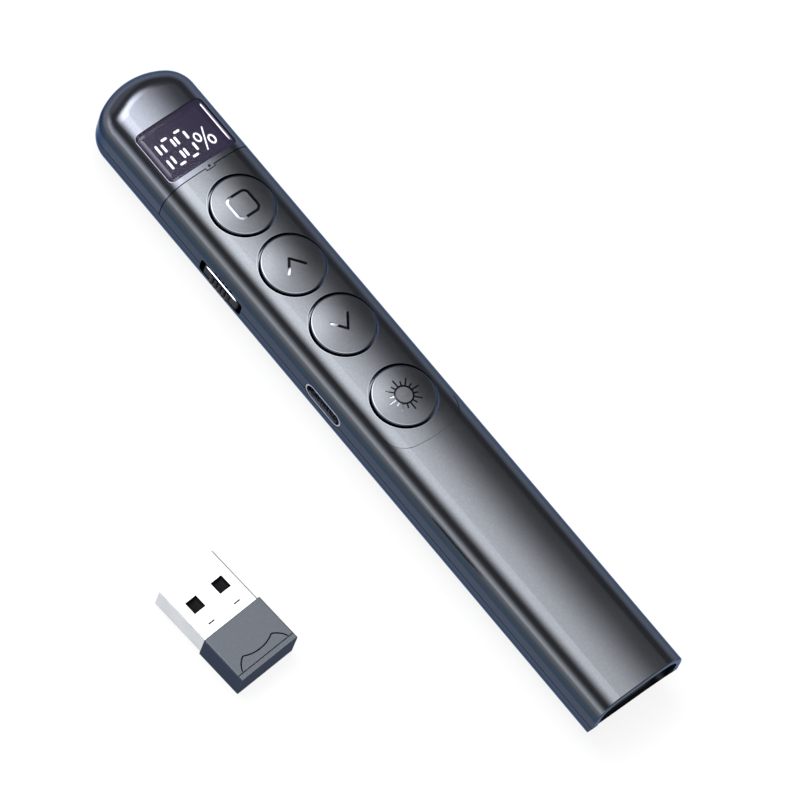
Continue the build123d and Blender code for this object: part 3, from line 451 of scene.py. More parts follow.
@dataclass(frozen=True)
class SmokedAcrylic(Finish):
    """Polished acrylic dyed in the mass, with a dark film printed on its back.

    The eye sees an even violet black with a quiet reflection, and the lit digits through it.
    """

    colour: str = "#3f394f"
    cover: float = 0.5
    roughness: Pair = (0.16, 0.22)
    ior: float = 1.49
    shine: float = 0.1  # a thin coat holds the reflection down
    wipe_mm: float = 5.0
    wipe_spread: Pair = (0.35, 0.7)

    def shade(self, tree: Tree, space: Node) -> Node:
        """Build the dyed layer, part see-through, and the wiping marks in the polish.

        Args:
            tree: the material's node tree.
            space: the texture coordinates.

        Returns:
            The shader.
        """
        wipes = add_node(
            tree, "ShaderNodeTexNoise", None,
            {"Scale": per_metre(self.wipe_mm), "Detail": 4.0, "Distortion": 0.4},
            {"Vector": space.outputs["Object"]},
        )
        return self.skin(
            tree,
            {"Base Color": linear(self.colour), "IOR": self.ior, "Alpha": self.cover,
             "Specular IOR Level": self.shine},
            uneven=(wipes.outputs["Fac"], self.roughness), spread=self.wipe_spread,
        )


@dataclass(frozen=True)
class CastResin(Finish):
    """Clear epoxy cast in a small mould: glassy, with a little haze inside."""

    tint: str
    roughness: Pair = (0.05, 0.16)
    ior: float = 1.51
    clearness: float = 0.9
    haze_mm: float = 0.9

    def shade(self, tree: Tree, space: Node) -> Node:
        """Build the clear body and its uneven skin.

        Args:
            tree: the material's node tree.
            space: the texture coordinates.

        Returns:
            The shader.
        """
        haze = add_node(
            tree, "ShaderNodeTexNoise", None,
            {"Scale": per_metre(self.haze_mm), "Detail": 2.0}, {"Vector": space.outputs["Object"]},
        )
        return self.skin(
            tree,
            {"Base Color": linear(self.tint), "IOR": self.ior,
             "Transmission Weight": self.clearness},
            uneven=(haze.outputs["Fac"], self.roughness),
        )


@dataclass(frozen=True)
class LitDiffuser(Finish):
    """Milky diffuser over lit segments: white, and a little fuller in its middle than at its ends."""

    colour: str = "#f4f2fb"
    glow: Pair = (5.1, 5.9)
    spot_mm: float = 0.9

    def shade(self, tree: Tree, space: Node) -> Node:
        """Build the diffuser with the small unevenness of the lights behind it.

        Args:
            tree: the material's node tree.
            space: the texture coordinates.

        Returns:
            The shader.
        """
        spots = add_node(
            tree, "ShaderNodeTexNoise", None,
            {"Scale": per_metre(self.spot_mm), "Detail": 1.0}, {"Vector": space.outputs["Object"]},
        )
        white = linear(self.colour)
        glow = ramped(tree, [(spots.outputs["Fac"], *NOISE_SPREAD, *self.glow)])
        return self.skin(
            tree, {"Base Color": white, "Roughness": 0.6, "Emission Color": white},
            links={"Emission Strength": glow},
        )


@dataclass(frozen=True)
class SolderResist(Finish):
    """Glass-fibre board under a glossy green resist, with copper tracks raised below it."""

    colour: str = "#16492b"
    track_colour: str = "#2a6b41"
    track_mm: float = 0.55
    track_height_mm: float = 0.03
    track_depth: float = 0.4
    cells_per_track: int = 4
    cloth_mm: float = 0.7
    roughness: Pair = (0.26, 0.4)
    ior: float = 1.52

    def shade(self, tree: Tree, space: Node) -> Node:
        """Build square-cornered tracks between cells of resist, with their small height.

        Args:
            tree: the material's node tree.
            space: the texture coordinates.

        Returns:
            The shader.
        """
        place = space.outputs["Object"]
        tracks = add_node(
            tree, "ShaderNodeTexBrick", {"offset": 0.37, "squash": 1.0},
            {"Scale": per_metre(self.track_mm * self.cells_per_track),
             "Mortar Size": 0.05, "Mortar Smooth": 0.1, "Brick Width": 0.9, "Row Height": 0.35,
             "Color1": linear(self.colour), "Color2": linear(self.colour),
             "Mortar": linear(self.track_colour)},
            {"Vector": place},
        )
        cloth = add_node(
            tree, "ShaderNodeTexNoise", None,
            {"Scale": per_metre(self.cloth_mm), "Detail": 2.0}, {"Vector": place},
        )
        return self.skin(
            tree, {"IOR": self.ior},
            uneven=(cloth.outputs["Fac"], self.roughness),
            relief=(tracks.outputs["Fac"], self.track_depth, self.track_height_mm),
            links={"Base Color": tracks.outputs["Color"]},
        )


@dataclass(frozen=True)
class PouchFoil(Finish):
    """Heat-sealed aluminium laminate of a pouch cell: soft wide gloss with faint creases."""

    colour: str = "#b9bdc2"
    # painted shade: the darker colour along the creases
    crease_shade_colour: str = "#989ca3"
    roughness: Pair = (0.28, 0.42)
    crease_mm: float = 4.0
    crease_height_mm: float = 0.06
    crease_depth: float = 0.3
    crease_spread: Pair = (0.2, 0.9)

    def shade(self, tree: Tree, space: Node) -> Node:
        """Build the creases as folded noise, darker along them as painted shade.

        Args:
            tree: the material's node tree.
            space: the texture coordinates.

        Returns:
            The shader.
        """
        creases = add_node(
            tree, "ShaderNodeTexNoise", {"noise_type": "RIDGED_MULTIFRACTAL"},
            {"Scale": per_metre(self.crease_mm), "Detail": 3.0},
            {"Vector": space.outputs["Object"]},
        ).outputs["Fac"]
        return self.skin(
            tree, {"Metallic": 1.0}, colours=(self.colour, self.crease_shade_colour, creases),
            uneven=(creases, self.roughness), spread=self.crease_spread,
            relief=(creases, self.crease_depth, self.crease_height_mm),
        )


@dataclass(frozen=True)
class ExtrudedInsulation(Finish):
    """PVC drawn over two leads, red on the positive one and black on the other."""

    positive: str = "#9a1f1c"
    negative: str = "#1a1a1c"
    roughness: Pair = (0.34, 0.46)
    skin_mm: float = 0.4
    ior: float = 1.53

    def shade(self, tree: Tree, space: Node) -> Node:
        """Colour each lead by the side of the middle it runs on.

        Args:
            tree: the material's node tree.
            space: the texture coordinates.

        Returns:
            The shader.
        """
        place = space.outputs["Object"]
        parts = add_node(tree, "ShaderNodeSeparateXYZ", None, None, {"Vector": place})
        side = add_node(
            tree, "ShaderNodeMath", {"operation": "GREATER_THAN"}, {1: 0.0},
            {0: parts.outputs["X"]},
        )
        skin = add_node(
            tree, "ShaderNodeTexNoise", None,
            {"Scale": per_metre(self.skin_mm), "Detail": 2.0}, {"Vector": place},
        )
        return self.skin(
            tree, {"IOR": self.ior}, colours=(self.negative, self.positive, side.outputs["Value"]),
            uneven=(skin.outputs["Fac"], self.roughness),
        )


@dataclass(frozen=True)
class FiredCeramic(Finish):
    """Sintered ceramic of small board parts: chalky and finely speckled."""

    colour: str = "#b79f7e"
    speck_colour: str = "#8f7a5e"
    roughness: float = 0.7
    ior: float = 1.6
    speck_mm: float = 0.15  # real grains are about 0.01 mm, drawn coarser so that they show
    speck_height_mm: float = 0.01
    speck_depth: float = 0.3

    def shade(self, tree: Tree, space: Node) -> Node:
        """Build the specks and the sintered skin.

        Args:
            tree: the material's node tree.
            space: the texture coordinates.

        Returns:
            The shader.
        """
        specks = add_node(
            tree, "ShaderNodeTexNoise", None,
            {"Scale": per_metre(self.speck_mm), "Detail": 3.0}, {"Vector": space.outputs["Object"]},
        ).outputs["Fac"]
        return self.skin(
            tree, {"Roughness": self.roughness, "IOR": self.ior},
            colours=(self.colour, self.speck_colour, specks),
            relief=(specks, self.speck_depth, self.speck_height_mm),
        )


@dataclass(frozen=True)
class OpenCellFoam(Finish):
    """Polyurethane foam cut from a block: dark, dull and full of small open pores."""

    colour: str = "#2a2a2d"
    # painted shade: the darker colour in the middle of each pore
    pore_shade_colour: str = "#0d0d0f"
    roughness: float = 0.92
    ior: float = 1.45
    sheen: float = 0.15
    pore_mm: float = 0.45
    pore_height_mm: float = 0.12
    pore_depth: float = 0.8

    def shade(self, tree: Tree, space: Node) -> Node:
        """Build the pores as round cells sunk into the cut face, darkened towards their middles as
        painted shade.

        Args:
            tree: the material's node tree.
            space: the texture coordinates.

        Returns:
            The shader.
        """
        pores = add_node(
            tree, "ShaderNodeTexVoronoi", {"feature": "F1"},
            {"Scale": per_metre(self.pore_mm)}, {"Vector": space.outputs["Object"]},
        ).outputs["Distance"]
        return self.skin(
            tree, {"Roughness": self.roughness, "IOR": self.ior, "Sheen Weight": self.sheen},
            colours=(self.pore_shade_colour, self.colour, pores),
            relief=(pores, self.pore_depth, self.pore_height_mm),
        )


@dataclass(frozen=True)
class MattPaper(Finish):
    """White paper of the studio floor: matt, with a soft glow that makes its white even."""

    colour: str = "#fafafa"
    glow: float = 0.86
    pulp_mm: float = 1.2
    pulp_height_mm: float = 0.02
    pulp_depth: float = 0.02

    def shade(self, tree: Tree, space: Node) -> Node:
        """Build the paper, which glows to the camera and in reflections and keeps its shadows.

        Args:
            tree: the material's node tree.
            space: the texture coordinates.

        Returns:
            The shader.
        """
        pulp = add_node(
            tree, "ShaderNodeTexNoise", None, {"Scale": per_metre(self.pulp_mm)},
            {"Vector": space.outputs["Object"]},
        )
        bump = add_node(
            tree, "ShaderNodeBump", None,
            {"Strength": self.pulp_depth, "Distance": self.pulp_height_mm * MM},
            {"Height": pulp.outputs["Fac"]},
        )
        paper = add_node(
            tree, "ShaderNodeBsdfDiffuse", None, {"Color": linear(self.colour)},
            {"Normal": bump.outputs["Normal"]},
        )
        glow = add_node(tree, "ShaderNodeEmission", None, {"Strength": 1.0})
        path = add_node(tree, "ShaderNodeLightPath").outputs
        seen = path["Is Camera Ray"]
        for kind in ("Is Glossy Ray", "Is Transmission Ray"):
            seen = add_node(
                tree, "ShaderNodeMath", {"operation": "MAXIMUM"}, None, {0: seen, 1: path[kind]},
            ).outputs["Value"]
        share = add_node(
            tree, "ShaderNodeMath", {"operation": "MULTIPLY"}, {1: self.glow}, {0: seen},
        )
        return add_node(
            tree, "ShaderNodeMixShader", None, None,
            {0: share.outputs["Value"], 1: paper.outputs["BSDF"], 2: glow.outputs["Emission"]},
        )


# the navy slate on the turned-down flanks of the casing and the nose is painted shade
CASING_LACQUER = SprayedMetallic("sprayed gunmetal lacquer", flank_shade_colour="#39434f")
# a lighter copy of the casing lacquer for the nose cover: a painted highlight
NOSE_HIGHLIGHT_LACQUER = SprayedMetallic(
    "sprayed gunmetal lacquer, lightened nose highlight", "#5f6168", "#676a71", flank_shade_colour="#39434f",
)
KEY_LACQUER = SprayedMetallic("sprayed gunmetal lacquer, keys", roughness=(0.13, 0.16))
# on the receiver the near-black grip groove is painted shade, and the lighter slate grey of its
# upright sides a painted reflection
CAP_LACQUER = SprayedMetallic(
    "sprayed gunmetal lacquer, receiver", "#4e5156", "#565a5f", "#8c909c", (0.26, 0.32),
    clear_coat=0.0, recess_under_mm=5.36, recess_shade_colour="#0b0c0e", side_reflection_colour="#555a63",
)
# bright metal only on the lit left side of the symbols: partly real reflection, partly a painted
# highlight
SYMBOL_GLINT_METAL = DrawnMetal("diamond-cut dark chrome, lit symbol side", "#7e8084", "#787a7e", (0.05, 0.09))
RIM_METAL = DrawnMetal("turned dark chrome", "#6f7277", "#676a6f", (0.08, 0.14))
TRIM_METAL = DrawnMetal("polished chrome trim", "#b4b7bd", "#a9acb2", (0.08, 0.14))
# bright metal on the window's right edge: partly real reflection, partly a painted highlight
RIGHT_EDGE_GLINT_METAL = DrawnMetal("polished violet-grey metal, right window edge", "#a9a5b6", "#9d99ab", (0.08, 0.12))
PORT_STEEL = DrawnMetal("drawn steel, black nickel", "#a3a8b6", "#989dab", (0.2, 0.3))
CHROME_STEEL = DrawnMetal("drawn steel, nickel chrome", "#d6d8db", "#bfc2c6", (0.1, 0.18))
NICKEL_SHEET = DrawnMetal("rolled nickel silver sheet", "#b7b5ad", "#9c9a92", (0.25, 0.38))
ZINC_STEEL = DrawnMetal("turned steel, zinc plated", "#a3a7ad", "#878b92", (0.28, 0.4))
TINNED_COPPER = DrawnMetal(
    "drawn copper, tinned", "#c4c5c7", "#a5a6a9", (0.2, 0.34), drawn=Axis.UPRIGHT,
)
GOLD_FLASH = DrawnMetal("rolled bronze, gold flashed", "#d9b25f", "#bd9342", (0.16, 0.28))
KNOB_NYLON = MouldedPlastic(
    "moulded glass-filled nylon", "#10141d", "#171b25", (0.3, 0.4), shine=0.06, grain_depth=0.15,
)
PIPE_ACRYLIC = MouldedPlastic("moulded black acrylic", "#050506", "#08080a", (0.2, 0.3), shine=0.2)
# near-black put under the plug's holes where there is only shade: painted shade
HOLE_SHADE_NYLON = MouldedPlastic("black nylon, painted hole shade", "#030304", "#060607", (0.5, 0.6), shine=0.1)
# black put on the shaded sides of the symbols: painted shade
SYMBOL_SHADE_ENAMEL = MouldedPlastic("black enamel, painted symbol shade", "#07080a", "#0b0c0f", (0.3, 0.4), shine=0.08)
LINER_ABS = MouldedPlastic("moulded black abs", "#0c0d10", "#121316", (0.38, 0.5), shine=0.25)
CHIP_EPOXY = MouldedPlastic("moulded chip epoxy", "#121214", "#1b1b1d", (0.55, 0.68))
SOCKET_NYLON = MouldedPlastic("moulded white nylon", "#d8d6cf", "#c9c6bc", (0.45, 0.55))
# lighter than the tongue's own colour: painted light inside the port's shade
LIT_TONGUE_LCP = MouldedPlastic("grey polymer, lightened inside the port", "#8d919b", "#989ca5", (0.45, 0.6))
LENS_ACRYLIC = SmokedAcrylic("polished smoked acrylic")
EDGE_ACRYLIC = SmokedAcrylic("polished smoked acrylic, edge", cover=1.0, shine=0.4)
PIPE_RESIN = CastResin("cast smoked resin", "#1d1d22")
LASER_GLASS = CastResin("moulded clear lens", "#dfe6ee")
DIGIT_DIFFUSER = LitDiffuser("milky lit diffuser")
BOARD_RESIST = SolderResist("solder resist on glass fibre")
CELL_FOIL = PouchFoil("heat-sealed pouch foil")
LEAD_PVC = ExtrudedInsulation("extruded pvc insulation")
PART_CERAMIC = FiredCeramic("fired ceramic")
PAD_FOAM = OpenCellFoam("open-cell urethane foam")
FLOOR_PAPER = MattPaper("matt white paper")


# ---------------------------------------------------------------- studio


@dataclass(frozen=True)
class Softbox:
    """One soft strip of light in the sky, as angles seen from the object, in degrees.

    The turn is measured round the long axis of the clicker, from straight up towards its right,
    and the reach is measured towards its nose.
    """

    turn: Pair
    turn_soft: Pair
    reach: Pair
    reach_soft: float
    strength: float
    colour: str


@dataclass
class Studio:
    """A white floor, a sky of soft strips and the camera."""

    floor_radius: float = 30000.0
    floor_sides: int = 96
    floor_gap: float = 0.02
    sky_base: float = 0.2
    sky_colour: str = "#e6ebf5"
    camera_place: Tuple[float, ...] = (-441.96, -251.8, 946.5)
    camera_forward: Tuple[float, ...] = (0.4156, 0.2321, -0.8794)
    camera_up: Tuple[float, ...] = (0.5079, 0.7429, 0.4361)
    camera_near: float = 50.0
    camera_far: float = 100000.0
    lens: float = 291.53
    sensor: float = 36.0
    # overhead, overhead at the nose end, left strip, right fill, nose fill and tail fill
    softboxes: Tuple[Softbox, ...] = (
        Softbox((-26.0, 22.5), (20.0, 11.0), (-12.0, 36.0), 8.0, 3.5, "#fbfcff"),
        Softbox((-26.0, 22.5), (20.0, 11.0), (16.5, 36.0), 8.0, 5.3, "#fbfcff"),
        Softbox((-200.0, -74.0), (1.0, 15.0), (-60.0, 60.0), 15.0, 2.6, "#f6f9ff"),
        Softbox((70.0, 200.0), (12.0, 1.0), (-70.0, 70.0), 20.0, 0.9, "#cfdaf0"),
        Softbox((-180.0, 180.0), (1.0, 1.0), (62.0, 120.0), 10.0, 0.45, "#dfe5f0"),
        Softbox((-180.0, 180.0), (1.0, 1.0), (-120.0, -50.0), 10.0, 0.45, "#dfe5f0"),
    )

    def build(self) -> None:
        """Make the sky, the floor and the camera, and choose the plain view transform."""
        bpy.context.scene.view_settings.view_transform = "Standard"
        self.make_sky()
        self.make_floor()
        self.make_camera()

    def make_sky(self) -> None:
        """Paint the soft strips on the world by direction, over a dim even sky."""
        world = bpy.data.worlds.new("studio sky")
        bpy.context.scene.world = world
        world.use_nodes = True
        tree = world.node_tree
        tree.nodes.clear()
        way = add_node(tree, "ShaderNodeTexCoord").outputs["Generated"]
        parts = add_node(tree, "ShaderNodeSeparateXYZ", None, None, {"Vector": way}).outputs
        turn = add_node(
            tree, "ShaderNodeMath", {"operation": "ARCTAN2"}, None, {0: parts["X"], 1: parts["Z"]},
        ).outputs["Value"]
        reach = add_node(
            tree, "ShaderNodeMath", {"operation": "ARCSINE"}, None, {0: parts["Y"]},
        ).outputs["Value"]
        total = add_node(
            tree, "ShaderNodeVectorMath", {"operation": "SCALE"},
            {0: linear(self.sky_colour)[:3], "Scale": self.sky_base},
        ).outputs["Vector"]
        for softbox in self.softboxes:
            total = self.add_softbox(tree, softbox, turn, reach, total)
        light = add_node(tree, "ShaderNodeBackground", None, {"Strength": 1.0}, {"Color": total})
        add_node(tree, "ShaderNodeOutputWorld", links={"Surface": light.outputs["Background"]})

    def add_softbox(
        self, tree: Tree, softbox: Softbox, turn: Socket, reach: Socket, total: Socket,
    ) -> Socket:
        """Add one strip to the sky.

        Args:
            tree: the world's node tree.
            softbox: the strip.
            turn: the direction's angle round the long axis.
            reach: the direction's angle towards the nose.
            total: the sky so far.

        Returns:
            The sky with the strip in it.
        """
        edges = (
            (turn, softbox.turn[0], softbox.turn_soft[0], 0.0, 1.0),
            (turn, softbox.turn[1], softbox.turn_soft[1], 1.0, 0.0),
            (reach, softbox.reach[0], softbox.reach_soft, 0.0, 1.0),
            (reach, softbox.reach[1], softbox.reach_soft, 1.0, 0.0),
        )
        share = ramped(
            tree,
            [
                (angle, math.radians(edge - soft), math.radians(edge + soft), before, after)
                for angle, edge, soft, before, after in edges
            ],
            Ease.SMOOTH,
        )
        colour = [channel * softbox.strength for channel in linear(softbox.colour)[:3]]
        glow = add_node(
            tree, "ShaderNodeVectorMath", {"operation": "SCALE"}, {0: colour}, {"Scale": share},
        )
        return add_node(
            tree, "ShaderNodeVectorMath", {"operation": "ADD"}, None,
            {0: total, 1: glow.outputs["Vector"]},
        ).outputs["Vector"]

    def make_floor(self) -> None:
        """Lay a round sheet of white paper under the clicker's flat underside."""
        mesh = bpy.data.meshes.new("studio floor")
        shape = bmesh.new()
        bmesh.ops.create_circle(
            shape, cap_ends=True, segments=self.floor_sides, radius=self.floor_radius * MM)
        shape.to_mesh(mesh)
        shape.free()
        mesh.materials.append(FLOOR_PAPER.material())
        floor = bpy.data.objects.new("studio_floor", mesh)
        bpy.context.scene.collection.objects.link(floor)
        floor.location.z = cad_box[0].z - self.floor_gap * MM

    def make_camera(self) -> None:
        """Set the long lens over the left side of the tail, looking down at the clicker."""
        data = bpy.data.cameras.new("studio camera")
        data.lens = self.lens
        data.sensor_width = self.sensor
        data.clip_start = self.camera_near * MM
        data.clip_end = self.camera_far * MM
        camera = bpy.data.objects.new("studio_camera", data)
        forward = Vector(self.camera_forward).normalized()
        right = forward.cross(Vector(self.camera_up)).normalized()
        turned = Matrix((right, right.cross(forward), -forward)).transposed()
        camera.matrix_world = Matrix.Translation(spot(*self.camera_place)) @ turned.to_4x4()
        bpy.context.scene.collection.objects.link(camera)
        bpy.context.scene.camera = camera


# ---------------------------------------------------------------- shapes


def spot(x: float, y: float, z: float) -> Vector:
    """Return the point that is given in millimetres."""
    return Vector((x, y, z)) * MM


def turned_about(radius: float, angles: Iterable[float], middle: float = 0.0) -> List[Pair]:
    """Return points at the angles of a circle, whose middle is at the given place along Y."""
    return [(radius * math.cos(angle), middle + radius * math.sin(angle)) for angle in angles]


def full_turn(steps: int) -> List[float]:
    """Return the angles that part a full turn into so many steps."""
    return [math.tau * step / steps for step in range(steps)]


def add_skin(shape: Shape, rows: List[Sequence[Point]], looped: bool = False) -> None:
    """Stretch a closed skin over rows of points, each of which goes round a form.

    Args:
        shape: the mesh that gets the skin.
        rows: the rows from one end of the form to the other, each with as many points.
        looped: whether the last row meets the first; otherwise each end gets a cap.
    """
    rings = [[shape.verts.new(point) for point in row] for row in rows]
    if looped:
        rings.append(rings[0])
    else:
        for end in (rings[0], rings[-1]):
            shape.faces.new(end)
    for row, after in zip(rings, rings[1:]):
        for place in range(len(row)):
            beside = (place + 1) % len(row)
            shape.faces.new((row[place], row[beside], after[beside], after[place]))
    bmesh.ops.recalc_face_normals(shape, faces=shape.faces)


def add_band(
    shape: Shape, outer: List[Vector], inner: List[Vector], skirt: float, closed: bool = True,
) -> None:
    """Add a solid band between two edges that run side by side.

    Args:
        shape: the mesh that gets the band.
        outer: points along one edge.
        inner: points along the other edge, as many.
        skirt: how far the underside lies below the lower edge, in millimetres.
        closed: whether the band runs round to its start.
    """
    rows = []
    for first, second in zip(outer, inner):
        under = min(first.z, second.z) - skirt * MM
        rows.append((first, second, (second.x, second.y, under), (first.x, first.y, under)))
    add_skin(shape, rows, looped=closed)


def rounded_path(
    half_x: float, half_y: float, corner: float, arc: int = 8, side: int = 1,
) -> List[Pair]:
    """Return points round a rectangle with round corners.

    Args:
        half_x: half of its width.
        half_y: half of its length.
        corner: the radius of its corners.
        arc: how many steps a corner has.
        side: how many steps a straight side has.

    Returns:
        The points, turning left from the right side's upper end.
    """
    arcs = []
    for quarter, (sign_x, sign_y) in enumerate(((1, 1), (-1, 1), (-1, -1), (1, -1))):
        angles = [math.pi / 2 * (quarter + step / arc) for step in range(arc + 1)]
        arcs.append([
            (sign_x * (half_x - corner) + x, sign_y * (half_y - corner) + y)
            for x, y in turned_about(corner, angles)
        ])
    points: List[Pair] = []
    for bend, following in zip(arcs, arcs[1:] + arcs[:1]):
        points += bend
        start, end = Vector(bend[-1]), Vector(following[0])
        points += [tuple(start.lerp(end, step / side)) for step in range(1, side)]
    return points


def dress(finishes: Dict[str, Finish]) -> None:
    """Give each named solid its finish.

    Args:
        finishes: the node's name and its finish.
    """
    for node_name, finish in finishes.items():
        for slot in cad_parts[node_name].material_slots:
            slot.material = finish.material()
        LOG.info("%s: %s", node_name, finish.name)


def place_piece(
    name: str, shape: Shape, finish: Finish, body: str, smooth: bool = False,
) -> bpy.types.Object:
    """Turn a modelled shape into a piece that rides on its body.

    Args:
        name: the piece's name.
        shape: the shape, in the frame's metres; it is freed here.
        finish: the finish it gets.
        body: the body it rides on.
        smooth: whether its faces are shaded smooth.

    Returns:
        The new piece.
    """
    mesh = bpy.data.meshes.new(name)
    for face in shape.faces:
        face.smooth = smooth
    shape.to_mesh(mesh)
    shape.free()
    mesh.materials.append(finish.material())
    piece = bpy.data.objects.new(name, mesh)
    bpy.context.scene.collection.objects.link(piece)
    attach(piece, body)
    LOG.info("%s: %d faces, %s, on %s", name, len(mesh.polygons), finish.name, body)
    return piece


@dataclass(frozen=True)
class Crown:
    """The outer section of the casing: a shallow crown between two round shoulders."""

    top: float = 13.5
    radius: float = 60.0
    shoulder_x: float = 4.75
    shoulder_z: float = 8.596
    shoulder_radius: float = 4.7

    def height(self, x: float, sink: float = 0.0) -> float:
        """Return the height of the surface.

        Args:
            x: the distance from the middle.
            sink: how far below the outer surface.

        Returns:
            The height above the table.
        """
        centre = self.top - self.radius
        lean = math.atan2(self.shoulder_x, self.shoulder_z - centre)
        if abs(x) <= (self.radius - sink) * math.sin(lean):
            return centre + math.sqrt((self.radius - sink) ** 2 - x * x)
        across = abs(x) - self.shoulder_x
        return self.shoulder_z + math.sqrt((self.shoulder_radius - sink) ** 2 - across ** 2)


CROWN = Crown()
KEY_PLACES = {"screen": 37.1, "previous": 23.8, "next": 10.5, "pointer": -5.3}
ROUND = full_turn(72)
FIT = 0.01  # the clearance of a rim round its opening
RIM_LIFT = 0.012  # a rim's height over the casing
RIM_SKIRT = 0.1


# ---------------------------------------------------------------- sub-assemblies


@dataclass
class Casing:
    """The two shells and the nose cover, in one lacquer that is lighter on the nose cover as a
    painted highlight, with bright-cut rims.
    """

    hole_radius: float = 5.97
    rim_width: float = 0.11

    def build(self) -> None:
        """Dress the three shells and cut the rims of the key holes."""
        dress({
            "bottom_shell": CASING_LACQUER,
            "top_shell": CASING_LACQUER,
            "head_cover": NOSE_HIGHLIGHT_LACQUER,
        })
        shape = bmesh.new()
        start = self.hole_radius + FIT
        for middle in KEY_PLACES.values():
            inner, outer = [
                [
                    spot(x, y, CROWN.height(x) + RIM_LIFT)
                    for x, y in turned_about(radius, ROUND, middle)
                ]
                for radius in (start, start + self.rim_width)
            ]
            add_band(shape, outer, inner, RIM_SKIRT)
        place_piece("key_hole_rims", shape, RIM_METAL, "handset")


@dataclass
class Display:
    """The smoked window, the lit digits and the module that carries them."""

    middle_y: float = 52.15
    half_width: float = 7.1
    half_length: float = 5.2
    corner: float = 1.0
    side_steps: int = 24
    rim_width: float = 0.08
    rim_slope: float = 0.22
    lens_sink: float = 0.15
    edge_x: float = 6.45
    edge_half_length: float = 4.3
    edge_steps: int = 40
    edge_end_power: int = 12
    edge_end_share: float = 0.02
    edge_cross_steps: int = 12
    edge_bed: float = 0.004
    edge_root: float = 0.08
    left_edge: Pair = (0.42, 0.06)  # half of its width, and its height over the window
    right_edge: Pair = (0.34, 0.18)

    def build(self) -> None:
        """Dress the display and the small indicator beside it."""
        dress({
            "display_window": LENS_ACRYLIC,
            "display_segments": DIGIT_DIFFUSER,
            "display_module": LINER_ABS,
            "display_pins": TINNED_COPPER,
            "indicator_pipe": PIPE_ACRYLIC,
            "indicator_led": PIPE_RESIN,
        })
        self.make_rim()
        # the right edge is bright metal and the left smoked acrylic, so that the right one shows the
        # brighter highlight: partly its own reflection, partly a painted highlight
        self.make_edge("window_left_edge", -self.edge_x, *self.left_edge, EDGE_ACRYLIC)
        self.make_edge("window_right_edge", self.edge_x, *self.right_edge, RIGHT_EDGE_GLINT_METAL)

    def make_rim(self) -> None:
        """Cut a narrow bright rim round the opening of the window."""
        inner_path, outer_path = [
            rounded_path(
                self.half_width + FIT + grown, self.half_length + FIT + grown,
                self.corner + grown, side=self.side_steps)
            for grown in (0.0, self.rim_width)
        ]
        inner, outer = [], []
        for (inner_x, inner_y), (outer_x, outer_y) in zip(inner_path, outer_path):
            low = CROWN.height(inner_x) + RIM_LIFT
            across = math.hypot(outer_x - inner_x, outer_y - inner_y)
            high = max(CROWN.height(outer_x) + RIM_LIFT, low - across * self.rim_slope)
            inner.append(spot(inner_x, self.middle_y + inner_y, low))
            outer.append(spot(outer_x, self.middle_y + outer_y, high))
        shape = bmesh.new()
        add_band(shape, outer, inner, RIM_SKIRT)
        place_piece("window_rim", shape, RIM_METAL, "handset")

    def make_edge(self, name: str, x: float, half: float, rise: float, finish: Finish) -> None:
        """Raise a polished edge along one side of the window, round in section and at its ends.

        Args:
            name: the piece's name.
            x: where its middle is.
            half: half of its width.
            rise: its height over the window.
            finish: its finish.
        """
        rows = []
        for along in range(self.edge_steps + 1):
            share = 2 * along / self.edge_steps - 1
            rounding = math.sqrt(max(0.0, 1 - abs(share) ** self.edge_end_power))
            swell = self.edge_end_share + (1 - self.edge_end_share) * rounding
            section = [
                (2 * across / self.edge_cross_steps - 1, rise * swell, self.edge_bed)
                for across in range(self.edge_cross_steps + 1)
            ] + [(1, 0.0, self.edge_root), (-1, 0.0, self.edge_root)]
            rows.append([
                spot(
                    x + out * half * swell, self.middle_y + share * self.edge_half_length,
                    CROWN.height(x + out * half * swell, self.lens_sink)
                    + arch * (1 - out * out) - sunk)
                for out, arch, sunk in section
            ])
        shape = bmesh.new()
        add_skin(shape, rows)
        place_piece(name, shape, finish, "handset", smooth=True)


